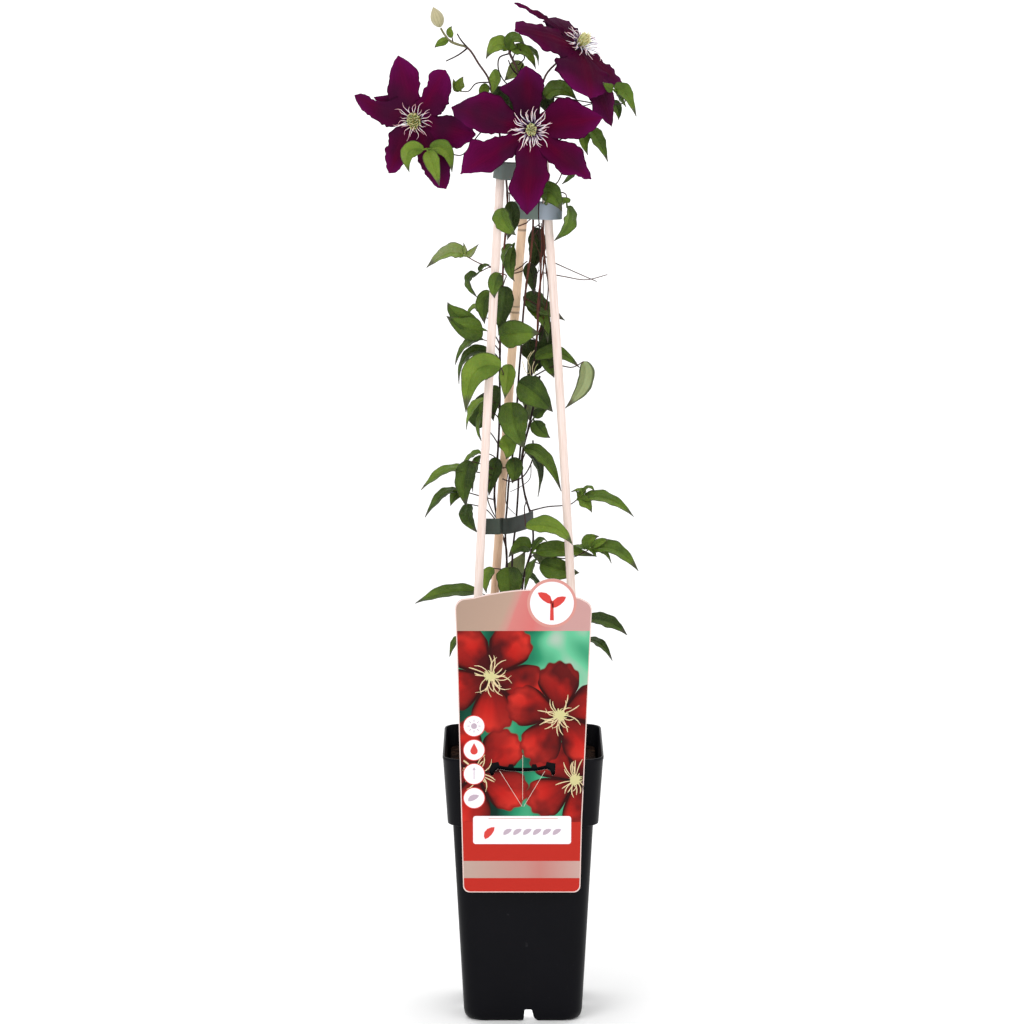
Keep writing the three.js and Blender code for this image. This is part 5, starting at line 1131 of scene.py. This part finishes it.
# How far each tepal is darkened, as painted shade; a value below nought lightens it instead, as
# painted light.
TEPAL_PAINTED_SHADE = {
    "front": [0.95, 0.4, 0.4, 0.0, 0.0, 0.3],
    "left": [-0.5, -0.2, -0.1, 0.6, 0.0, -0.1, 0.5],
    "right": [0.95, 0.5, 0.9, 0.45, 0.8, 0.6],
}
# Stamens of each bloom, how far they spread, how wide and how old they are; width and height of
# its tuft and how pale that is.
BLOOM_LOOKS = {
    "front": (40, 0.99, 0.25, 0.45, 1.0, 1.1, 0.25),
    "left": (26, 1.16, 0.13, 1.1, 1.02, 1.0, -0.05),
    "right": (40, 1.16, 0.22, 0.35, 0.95, 1.45, 0.3),
}
# A stamen's way: share of its reach, share of its rise and how far it has swung.
STAMEN_WAY = [
    (0.0, -1.2, 0.0), (0.25, 0.7, 0.1), (0.5, 1.0, 0.3), (0.72, 1.0, 0.55), (0.88, 0.95, 0.8),
]
STAMEN_FOOT_RADIUS = 3.9


def anther_radius(width):
    """Radius along a stamen: a thin thread widens into an anther, which narrows to its tip."""
    return lambda s: (0.2 + width * min(1.0, max(0.0, s - 0.24) * 6)) * (1 - 0.62 * s**2.6) * MM


# Styles of a tuft, and the turn from one to the next.
STYLES = 64
GOLDEN_ANGLE = 2.39996
FILAMENT = filament_skin()
SILK = style_skin()
for name, bloom in BLOOMS.items():
    petals = new_shape()
    for index, (row, painted_shade) in enumerate(zip(bloom["tepals"], TEPAL_PAINTED_SHADE[name], strict=True)):
        tepal(petals, bloom, index, row, painted_shade)
    finish_piece(f"{name}_bloom_petals", petals, TEPAL, f"bloom_{name}_tepals",
                 thickness=TEPAL_THICKNESS)

    stamens = new_shape()
    count, spread, width, ripe, tuft_wide, tuft_high, pale = BLOOM_LOOKS[name]
    centre, facing = Vector(bloom["centre"]), Vector(bloom["faces"]).normalized()
    # The right bloom looks up, so its stamens lean over its near edge and its tuft is open.
    tilted = name == "right"
    bloom_turn = rising_along(centre, facing).to_3x3()
    for i in range(count):
        turn = (i + rng.uniform(-0.4, 0.4)) / count * 2 * math.pi
        outer = i % 4 != 3
        rightward = max(0.0, (bloom_turn @ Vector((math.cos(turn), math.sin(turn), 0))).x) * tilted
        reach = bloom["stamenReach"] * spread * rng.uniform(*((0.78, 1.12) if outer else (0.55, 0.75)))
        reach *= 1 + 0.3 * rightward
        rise = rng.uniform(*((2.5, 6.0) if outer else (5.5, 8.0))) + 3.5 * rightward
        swing = rng.uniform(-0.24, 0.24)
        curve = rng.choice((-1, 1)) * rng.uniform(0.02, 0.09)
        hook = rng.uniform(-0.4, 0.3)
        path = []
        for share, height, turned in (*STAMEN_WAY, (1.0, 0.85 + hook, 1.05)):
            r = STAMEN_FOOT_RADIUS + (reach - STAMEN_FOOT_RADIUS) * share
            a = turn + swing * turned + curve * math.sin(2.2 * math.pi * share)
            path.append((r * math.cos(a), r * math.sin(a), max(-1.2, rise * height)))
        strand(stamens, smooth_line(path, 5), anther_radius(width), rows=18, flat=0.6,
               tone=ripe + rng.uniform(-0.4, 0.4) - rightward,
               side=Vector((-math.sin(turn), math.cos(turn), 0)))
    stamens.transform(rising_along(centre + facing * (STAMEN_BASE["lift"] + 0.8), facing))
    finish_piece(f"{name}_bloom_stamens", stamens, [FILAMENT], f"bloom_{name}_stamens")

    tuft = new_shape()
    radius, height = bloom["boss"][0] * 1.05 * tuft_wide, bloom["boss"][1] * 1.6 * tuft_high
    for i in range(STYLES):
        turn, out = i * GOLDEN_ANGLE, math.sqrt((i + 0.5) / STYLES)
        top = height * (1.0 - 0.34 * out * out) * rng.uniform(0.62 if tilted else 0.8, 1.0)
        lean = radius * out
        bend = rng.uniform(-0.3, 0.3)
        curl = 0.85 + (0.6 if tilted else 0.3) * rng.random()
        path = [(lean * share * math.cos(turn + b), lean * share * tall * math.sin(turn + b), z)
                for share, b, z, tall in ((0.5, 0, -0.4, 1.0), (0.98, 0, top * 0.55, 1.12),
                                          (curl, bend, top, 1.22))]
        strand(tuft, smooth_line(path, 5), lambda s: (0.56 - 0.26 * s) * MM, sides=5, rows=7,
               tone=pale + rng.uniform(0.4, 1.0) * (0.35 if out < 0.2 else 0.7 + 0.3 * out))
    base = STAMEN_BASE["lift"] + STAMEN_BASE["height"]
    tuft.transform(rising_along(centre + facing * base, facing))
    finish_piece(f"{name}_bloom_tuft", tuft, [SILK], f"bloom_{name}_boss")

# ------------------------------------------------------------------ bud
bud = new_shape()
foot, tip = Vector(BUD["foot"]), Vector(BUD["tip"])
# Shares of its height and of its radius.
BUD_PROFILE = [
    (0.0, 0.0), (0.03, 0.3), (0.12, 0.62), (0.25, 0.88), (0.42, 1.0), (0.6, 0.9), (0.75, 0.66),
    (0.88, 0.34), (0.96, 0.12), (1.0, 0.0),
]


def bud_place(u, row):
    """Point of the bud before it is set on its stalk: six ribs, and a fine pleat over them."""
    share, wide = BUD_PROFILE[row]
    turn = 2 * math.pi * u
    rib = 1 - 0.09 * abs(math.sin(3 * turn)) ** 0.5 + 0.02 * math.cos(18 * turn)
    r = BUD["radius"] * wide * rib
    return Vector((r * math.cos(turn), r * math.sin(turn), share * (tip - foot).length)) * MM


sheet(bud, 48, len(BUD_PROFILE) - 1, bud_place, closed=True)
bud.transform(rising_along(foot, tip - foot))
bud_piece = finish_piece("bud_closed", bud, [bud_skin()], "bud")
smoother = bud_piece.modifiers.new("smooth", "SUBSURF")
smoother.levels = smoother.render_levels = 1


# ------------------------------------------------------------------ canes
def cane_ends(cane):
    """Foot and head of a cane's axis."""
    head = Vector(cane["top"])
    along = Vector(cane["low"]) - head
    return head + along * ((CANE_FOOT_Z - head.z) / along.z), head


def cane_shape(name, stations, tone=0.0):
    """A round bowed cane from rows of (distance from its foot, radius), in millimetres."""
    foot, head = cane_ends(CANES[name])
    length = (head - foot).length
    along = (head - foot).normalized()
    out = along.orthogonal().normalized()
    up = along.cross(out)
    bm = new_shape()

    def place(u, row):
        distance, radius = stations[row]
        turn = 2 * math.pi * u
        bowed = Vector((CANE_BOWS[name] * math.sin(math.pi * distance / length), 0, 0))
        ring = (out * math.cos(turn) + up * math.sin(turn)) * radius
        return (foot + along * distance + bowed + ring) * MM

    last = len(stations) - 1
    here = (lambda u, v: tone(stations[round(v * last)][0])) if callable(tone) else tone
    sheet(bm, 28, last, place, here, closed=True, scale=(0.022, 1.0))
    uv = bm.loops.layers.uv.active
    for face in bm.faces:
        for loop in face.loops:
            loop[uv].uv.y = (loop.vert.co - foot * MM).dot(along)
    return bm


def cane_length(name):
    """Length of a cane's axis in millimetres."""
    foot, head = cane_ends(CANES[name])
    return (head - foot).length


WOOD = dowel_wood()
for name in ("left", "right"):
    length, r = cane_length(name), DOWEL_RADIUS
    rows = [(0, 0), (0, r - 0.3), (0.3, r)]
    rows += [(length * k / 12, r + 0.03 * math.sin(5 * k)) for k in range(1, 12)]
    rows += [(length - 0.4, r), (length, r - 0.5), (length, 0)]
    finish_piece(f"{name}_cane_dowel", cane_shape(name, rows), [WOOD], f"cane_{name}")

# Bamboo: knots and a scar near its head, as distances from its foot; swellings of a knot.
KNOTS, SCAR = (118, 418), 483.4
KNOT_SWELLS = [
    (-12, 0), (-6, 0.15), (-3.4, 0.42), (-2.6, 0.12), (-1, 0.25), (1.4, 0.3), (2.6, 0.1), (3.2, 0.38),
    (4.6, 0.1), (12, 0),
]
length, r = cane_length("bamboo"), BAMBOO_RADIUS
rows = [(0, 0), (0, r - 0.4), (0.4, r)]
rows += [(knot + off, r + swell) for knot in KNOTS for off, swell in KNOT_SWELLS]
rows += [(480, r), (482, r + 0.12), (SCAR, r - 0.05), (485, r), (length - 0.4, r - 0.1),
         (length, r - 0.6), (length, 0)]
scars = [knot + off for knot in KNOTS for off in (-2.6, 2.6)] + [SCAR]


def scar_tone(distance):
    """Tone that darkens a ring of the bamboo where a leaf sheath sat."""
    return 0.75 if any(abs(distance - scar) < 0.3 for scar in scars) else 0.0


finish_piece("bamboo_cane_skin", cane_shape("bamboo", rows, scar_tone), [bamboo_skin()],
             "cane_bamboo")


# ------------------------------------------------------------------ straps
def strap_shape(strap):
    """A band round its plan line, standing on edge, a little bowed across its height."""
    columns, rows = 110, 6
    closed, line = strap["closed"], [(*p, 0) for p in strap["line"]]
    if closed:
        around = smooth_line([line[-1], *line, *line[:2]], 12)[12:-12]
    else:
        around = smooth_line(line, 12)
    points = even_points(around, columns)
    tilt = math.radians(strap["tilt"] if closed else 0.0)
    bm = new_shape()

    def place(u, row):
        """Point of the strap's grid at a column and a row."""
        i = round(u * columns)
        if closed:
            i %= columns
            ahead = points[(i + 1) % columns] - points[i - 1]
        else:
            ahead = points[min(i + 1, columns)] - points[max(i - 1, 0)]
        ahead.normalize()
        share = row / rows * 2 - 1
        inward = Vector((-ahead.y, ahead.x, 0)) * ((STRAP_THICKNESS / 2 + 0.18 * share * share) * MM)
        base = points[i] + inward
        height = STRAP_HEIGHT / 2 * share * MM
        return Vector((base.x * math.cos(tilt) - height * math.sin(tilt), base.y,
                       strap["z"] * MM + base.x * math.sin(tilt) + height * math.cos(tilt)))

    sheet(bm, columns, rows, place)
    if closed:
        bmesh.ops.remove_doubles(bm, verts=bm.verts[:], dist=1e-6)
    bmesh.ops.recalc_face_normals(bm, faces=bm.faces[:])
    return bm


# The lower strap's darker right part, where it runs back into the plant, is painted shade; the middle
# strap's lighter, bluer right half is a painted highlight, and its far right end is painted shade.
STRAP_LOOKS = {
    "lower": strap_plastic("polyethylene_dark_strap", "#323b32", "#1b211b", -17.5, scuffs=0.08),
    "middle": strap_plastic("polyethylene_strap_blue_sheen", "#66746d", "#9ba6b4", 12.4, turned="#7c8693"),
    "upper": strap_plastic("polyethylene_grey_strap", "#525c58", "#6a746f", -24.0),
}
for name, strap in STRAPS.items():
    band = finish_piece(f"{name}_strap_band", strap_shape(strap), [STRAP_LOOKS[name]],
                        f"strap_{name}", thickness=STRAP_THICKNESS - 0.2)
    soft = band.modifiers.new("edge", "BEVEL")
    soft.width = 0.25 * MM
    soft.segments = 2
    soft.limit_method = "ANGLE"

# ------------------------------------------------------------------ pot and soil
FOOT_HOLLOW = 14.5
COLLAR_Z = POT_HEIGHT - COLLAR_HEIGHT
# Width, corner radius and height of each ring, from under the foot over the rim to the floor inside.
POT_ROWS = [
    *((BODY_FOOT_WIDTH + w, corner, z) for w, corner, z in (
        (-10, 11, FOOT_HOLLOW), (-10.6, 12, 0.4), (-9.4, 14.4, 0.0), (-7, 15, 0), (-4.2, 14.6, 0.8),
        (-2, 14, 2.5), (-0.6, 13, 4.9), (0.4, 12, 8))),
    (BODY_TOP_WIDTH, 12, COLLAR_Z - 0.6), (BODY_TOP_WIDTH + 1.0, 12, COLLAR_Z),
    *((COLLAR_FOOT_WIDTH + w, corner, COLLAR_Z + z) for w, corner, z in (
        (-1.6, 13, 0), (-0.4, 13.4, 0.4), (0, 13.6, 1.6))),
    *((RIM_WIDTH + w, corner, POT_HEIGHT + z) for w, corner, z in (
        (-0.9, 14, -3.2), (-0.1, 14.2, -2.4), (0, 14.4, -1.0), (-0.7, 14, -0.1), (-1.8, 13.6, 0),
        (-3.0, 13, -0.3), (-3.6, 12.6, -1.2))),
    (COLLAR_FOOT_WIDTH - 3.6, 11.8, COLLAR_Z + 1.5), (BODY_TOP_WIDTH - 3.6, 10.2, COLLAR_Z),
    (BODY_FOOT_WIDTH - 2, 10, FOOT_HOLLOW + POT_WALL), (20, 5, FOOT_HOLLOW + POT_WALL),
    (0.0, 0.0, FOOT_HOLLOW + POT_WALL),
]
NOTCH = [(NOTCH_OFFSET + x, z) for x, z in (
    (-5.2, -1), (8, -1), (7.4, 0.6), (5.6, 1.8), (4.4, 3.8), (2.9, NOTCH_HEIGHT - 0.8),
    (2.2, NOTCH_HEIGHT), (-2.6, NOTCH_HEIGHT), (-3.2, NOTCH_HEIGHT - 0.8), (-4, 1.8))]


def rounded_square(width, corner, z, u):
    """Point at a share u of the way round a square with round corners."""
    inset = width / 2 - corner
    straight, bend = 2 * inset, corner * math.pi / 2
    quarter, rest = divmod(u * 4, 1.0)
    turned = rest * (straight + bend)
    if turned <= straight:
        spot = Vector((width / 2, turned - inset, 0))
    else:
        a = (turned - straight) / corner
        spot = Vector((inset + corner * math.cos(a), inset + corner * math.sin(a), 0))
    spot.rotate(Quaternion((0, 0, 1), int(quarter) % 4 * math.pi / 2))
    return (spot + Vector((0, 0, z))) * MM


pot = new_shape()
rings = [(0, 0, FOOT_HOLLOW), *POT_ROWS]
sheet(pot, 160, len(POT_ROWS), lambda u, row: rounded_square(*rings[row], u), closed=True)
bmesh.ops.recalc_face_normals(pot, faces=pot.faces[:])
pot_piece = finish_piece("pot_walls", pot, [pot_plastic()], "pot")
cutter = bmesh.new()
for side in range(4):
    bmesh.ops.rotate(cutter, verts=cutter.verts[:], matrix=Matrix.Rotation(math.pi / 2, 3, "Z"))
    plate(cutter, [NOTCH], -BODY_FOOT_WIDTH / 2 - 3, 12)
notches = new_object("notches", cutter, [])
cut = pot_piece.modifiers.new("notch", "BOOLEAN")
cut.operation = "DIFFERENCE"
cut.object = notches
evaluated = pot_piece.evaluated_get(bpy.context.evaluated_depsgraph_get())
cut_mesh = bpy.data.meshes.new_from_object(evaluated)
pot_piece.modifiers.remove(cut)
pot_piece.data = cut_mesh
cut_mesh.set_sharp_from_angle(angle=math.radians(32))
bpy.data.objects.remove(notches)

soil = new_shape()
SOIL_TOP = POT_HEIGHT - SOIL_DEPTH_BELOW_RIM
SOIL_RINGS = 44


def soil_place(u, row):
    """Soil surface as rings from the wall to the middle, crumbly and a little crowned."""
    share = row / SOIL_RINGS
    width = (COLLAR_FOOT_WIDTH - 2.6) * (1 - share) + 0.001
    spot = rounded_square(width, min(12, width / 2), 0, u)
    rough = noise.fractal(spot * 160, 0.8, 2.1, 4) * 1.6 + noise.noise(spot * 700) * 0.5
    spot.z = (SOIL_TOP - 3 + 5 * (1 - (1 - share) ** 2) + rough * min(1.0, share * 9)) * MM
    return spot


sheet(soil, 200, SOIL_RINGS, soil_place)
bmesh.ops.remove_doubles(soil, verts=soil.verts[:], dist=1e-6)
for narrower, level in ((0.85, 150), (0.9, FOOT_HOLLOW + POT_WALL + 0.4)):
    walls = bmesh.ops.extrude_edge_only(soil, edges=[e for e in soil.edges if e.is_boundary])["geom"]
    for v in of_kind(walls, bmesh.types.BMVert):
        v.co = Vector((v.co.x * narrower, v.co.y * narrower, level * MM))
bmesh.ops.contextual_create(soil, geom=[e for e in soil.edges if e.is_boundary])
bmesh.ops.recalc_face_normals(soil, faces=soil.faces[:])
finish_piece("soil_crumbs", soil, [potting_soil()], "soil")


# ------------------------------------------------------------------ label
def arc(x, z, radius, start, end, count):
    """Points of an arc; angles are in degrees from the right, upwards positive."""
    turns = (math.radians(start + (end - start) * i / count) for i in range(count + 1))
    return [(x + radius * math.cos(a), z + radius * math.sin(a)) for a in turns]


def box_outline(x0, x1, z0, z1, r):
    """A box with round corners."""
    corners = ((x1 - r, z1 - r), (x0 + r, z1 - r), (x0 + r, z0 + r), (x1 - r, z0 + r))
    return [point for k, (x, z) in enumerate(corners)
            for point in arc(x, z, r, 90 * k, 90 * k + 90, 6)]


def turned(outline, x, z, degrees, size=1.0, mirror=1):
    """An outline set at a point, turned, sized and perhaps mirrored."""
    c, s = math.cos(math.radians(degrees)), math.sin(math.radians(degrees))
    return [(x + size * mirror * (c * a - s * b), z + size * (s * a + c * b)) for a, b in outline]


badge = LABEL_BADGE
CARD_EDGE = [
    *arc(-43.5, 119.8, 5.3, 180, 270, 6), *arc(41.2, 119.8, 5.3, 270, 360, 6),
    (47.7, 175.0), (51.4, 258.0), (54.9, 344.0), *arc(47.2, 348.5, 8.0, 2, 68, 8),
    (46.0, 358.2), *arc(badge["x"], badge["z"], badge["radius"], 14, 146, 26),
    (-4.0, 364.8), (-16.0, 363.4), (-29.0, 361.2), (-40.0, 358.6),
    *arc(-46.6, 349.6, 8.2, 108, 180, 8), (-53.4, 310.0), (-52.4, 270.0),
]
SLOT_EDGE = [
    (-27.2, 213.4), (-25.6, 211.6), (-24.0, 212.4), (-22.8, 215.6), (-20.4, 217.2), (-10, 215.6),
    (0, 215.2), (10, 215.6), (19.4, 217.2), (21.8, 215.6), (23.0, 212.4), (24.4, 211.6), (25.8, 213.4),
    (26.2, 222.0), (19.0, 223.4), (18.0, 220.4), (11.5, 218.9), (10.4, 221.4), (7.4, 221.4),
    (6.4, 218.5), (-7.4, 218.5), (-8.4, 221.4), (-11.4, 221.4), (-12.5, 218.9), (-19.0, 220.4),
    (-20.0, 223.4), (-27.4, 222.0),
]
# The tongue's way over the rim, as (y, z).
back, inside = LABEL_Y + LABEL_THICKNESS, -RIM_WIDTH / 2 + POT_WALL + 0.5
HOOK = [(y, POT_HEIGHT + z) for y, z in (
    (back - 0.2, -1), (back - 0.2, 0.7), (back + 0.7, 0.9), (inside + 0.2, 0.9), (inside + 0.9, 0.2),
    (inside + 1.3, -11))]
card = new_shape()
plate(card, [CARD_EDGE, SLOT_EDGE], LABEL_Y, LABEL_THICKNESS)
tongue = new_shape()
sheet(tongue, 8, len(HOOK) - 1, lambda u, row: Vector((-20 + 40 * u, *HOOK[row])) * MM)
CARD = label_card()
finish_piece("label_board", card, [CARD], "label")
finish_piece("label_tongue", tongue, [CARD], "label", thickness=TONGUE_THICKNESS)

INKS = {
    "white": "#f3eef2", "red": "#cf3a34", "dusty_pink": "#cf8f86", "lilac": "#b9a6b4",
    "crease": "#d8c6b8", "pale_rim": "#e3c9c2", "cream": "#dcc79a", "lime": "#ccc58c",
}
LEAFLET = [
    (0, 0), (1.6, 2.4), (4.6, 4.2), (8.4, 4.0), (11.6, 2.2), (13.6, 0), (10.4, -1.6), (6.6, -2.0),
    (2.6, -1.4),
]
STALK = [(21.4, 340.0), (24.6, 340.0), (24.2, 356), (21.9, 356)]
PANEL_LINE = [(-28, 176.0), (28, 176.0), (28, 176.5), (-28, 176.5)]
RAY = [(3.4, -0.3), (5.4, -0.3), (5.4, 0.3), (3.4, 0.3)]
DISC_X = -39.7
DISC_LEVELS = (253.0, 233.2, 213.3, 193.3)
DROP = [(DISC_X, 239.0), (-37.4, 234.6), *arc(DISC_X, 232.4, 3.0, 30, -210, 12), (-42.0, 234.6)]
ARROW = [(-40.0, 209.0), (-39.4, 209.0), (-39.4, 217.0), (-38.2, 216.2), (DISC_X, 219.0),
         (-41.2, 216.2), (-40.0, 217.0)]
OUTER_THREADS, INNER_THREADS, HEART_CORNERS = 24, 38, 22
inks = new_shape()


def stamp(ink, lift, *outlines, thick=0.05):
    """Prints an outline, less the holes that follow it, with its face that far off the card's."""
    plate(inks, outlines, LABEL_Y - 0.1 - lift, thick, list(INKS).index(ink))


stamp("dusty_pink", -0.02, arc(badge["x"], badge["z"], 19.9, 0, 354, 59), thick=0.12)
stamp("white", 0.04, arc(badge["x"], badge["z"], 17.6, 0, 354, 59), thick=0.06)
# Pale rim of the card, and a sprout on the badge.
stamp("pale_rim", -0.05, CARD_EDGE, [(x * 0.984, 225 + (z - 225) * 0.9935) for x, z in CARD_EDGE])
for sprout in (STALK, turned(LEAFLET, 23.4, 350, 40, 1.06),
               turned(LEAFLET, 22.6, 353.4, 40, 1.06, -1)):
    stamp("red", 0.1, sprout)
# Printed stamens and hearts of the blossoms; each plate has a depth of its own.
for middle_x, middle_z, reach, _, _ in BLOSSOMS:
    stamp("lime", -0.055, [
        (middle_x + r * math.cos(a), middle_z + r * math.sin(a)) for a, r in (
            (2 * math.pi * k / HEART_CORNERS, rng.uniform(2.2, 4.4)) for k in range(HEART_CORNERS))])
    for k in range(OUTER_THREADS + INNER_THREADS):
        inner = k >= OUTER_THREADS
        angle, bend = rng.uniform(0, 2 * math.pi), rng.uniform(-0.7, 0.7)
        start = 0.6 if inner else 2.5
        length = rng.uniform(2.6, 7.0) if inner else reach * rng.uniform(0.22, 0.42)
        spine = []
        for far in (start + (length - start) * j / 5 for j in range(6)):
            way = angle + bend * (far / length) ** 2
            spine.append((middle_x + far * math.cos(way), middle_z + far * math.sin(way)))
        if abs(spine[-1][0]) > 49 or not PANEL_LOW < spine[-1][1] < PANEL_HIGH - 1:
            continue
        wide = (0.4, 0.5, 0.55, 0.55, 0.45, 0.2) if inner else (0.2, 0.3, 0.36, 0.4, 0.46, 0.2)
        nx, nz = -math.sin(angle + bend * 0.6), math.cos(angle + bend * 0.6)
        edge = [(x + w * nx, z + w * nz) for (x, z), w in zip(spine, wide)]
        edge += [(x - w * nx, z - w * nz) for (x, z), w in zip(spine[::-1], wide[::-1])]
        stamp("lime" if inner else "cream", 0.0012 * k - 0.05, edge)
# White panel with a fine line, over the red foot, with a red leaf and a pale row of leaflets.
stamp("white", 0, box_outline(-40.6, 38.9, 155.0, 178.3, 2.2), thick=0.1)
stamp("dusty_pink", 0.05, PANEL_LINE)
stamp("red", 0.05, turned(LEAFLET, -31, 159, 52, 0.95))
for k in range(6):
    stamp("lilac", 0.05, turned(LEAFLET, -16 + 8 * k, 162.5, 35, 0.62))
# Care discs: sun, drop, arrow and leaf.
for z in DISC_LEVELS:
    stamp("red", 0, arc(DISC_X, z, 9.0, 0, 350, 35), thick=0.1)
    stamp("white", 0.05, arc(DISC_X, z, 8.3, 0, 350, 35))
stamp("lilac", 0.1, arc(DISC_X, 253, 2.4, 0, 340, 17))
for k in range(8):
    stamp("lilac", 0.1, turned(RAY, DISC_X, 253, k * 45))
stamp("red", 0.1, DROP)
stamp("lilac", 0.1, ARROW)
stamp("lilac", 0.1, turned(LEAFLET, -44.6, 190.6, 28, 0.75))
# Die-cut crease lines of the hanging tongue.
for (xa, za), (xb, zb) in (((-19.0, 215.8), (-0.8, 186.2)), ((17.6, 215.8), (0.4, 186.2)),
                           ((-0.4, 229), (-0.4, 192))):
    nx, nz = zb - za, xa - xb
    n = math.hypot(nx, nz) / 0.16
    stamp("crease", -0.04, [(xa - nx / n, za - nz / n), (xa + nx / n, za + nz / n),
                            (xb + nx / n, zb + nz / n), (xb - nx / n, zb - nz / n)], thick=0.08)
finish_piece("label_inks", inks, [flat_ink(f"ink_{name}", code) for name, code in INKS.items()],
             "label")

# ------------------------------------------------------------------ studio
FLOOR_SIZE = 60.0
floor = new_shape()
sheet(floor, 8, 8, lambda u, row: Vector(((u - 0.5) * FLOOR_SIZE, (row / 8 - 0.5) * FLOOR_SIZE, 0)))
floor_piece = new_object("studio_floor", floor, [floor_paper()])


def soft_light(name, place, aim, size, watts):
    """A square soft box at a place, turned to a point; sizes are in metres."""
    data = bpy.data.lights.new(name, "AREA")
    data.size = size
    data.energy = watts
    lamp = bpy.data.objects.new(name, data)
    lamp.location = place
    lamp.rotation_euler = (Vector(aim) - Vector(place)).to_track_quat("-Z", "Y").to_euler()
    bpy.context.scene.collection.objects.link(lamp)


soft_light("key_box", (-1.6, -2.2, 2.4), (0, 0, 0.5), 1.6, 30)
soft_light("fill_box", (1.6, -2.4, 0.9), (0, 0, 0.4), 1.8, 16)
soft_light("backdrop_box", (0, 15, 7), (0, 15, 0), 26, 1100)
# Light on the floor under the hollow foot, so that the notches in the foot show a pale floor.
soft_light("foot_glow", (0, 0, (FOOT_HOLLOW - 0.6) * MM), (0, 0, 0), 0.072, 0.03)

world = bpy.data.worlds.new("studio_air")
world.use_nodes = True
sky = world.node_tree.nodes["Background"]
sky.inputs["Color"].default_value = (1.0, 1.0, 1.0, 1.0)
# The air is brightest above and behind and falls off towards the front.
air = world.node_tree
way = add_node(air, "TexCoord").outputs["Generated"]
lifted = add_node(air, "VectorMath DOT_PRODUCT", way, (0.0, 0.5, 0.86))
fill(air, sky.inputs["Strength"], add_node(air, "MapRange", lifted, -1.0, 1.0, 0.28, 1.16))
bpy.context.scene.world = world
bpy.context.scene.view_settings.view_transform = "Standard"

CAMERA_PLACE, CAMERA_DIP, CAMERA_LENS = (-0.00904, -3.3, 0.9913), 0.1724, 144.26
camera_data = bpy.data.cameras.new("front_camera")
camera_data.sensor_width = 36.0
camera_data.lens = CAMERA_LENS
camera = bpy.data.objects.new("front_camera", camera_data)
camera.location = CAMERA_PLACE
camera.rotation_euler = (math.pi / 2 - CAMERA_DIP, 0, 0)
bpy.context.scene.collection.objects.link(camera)
bpy.context.scene.camera = camera
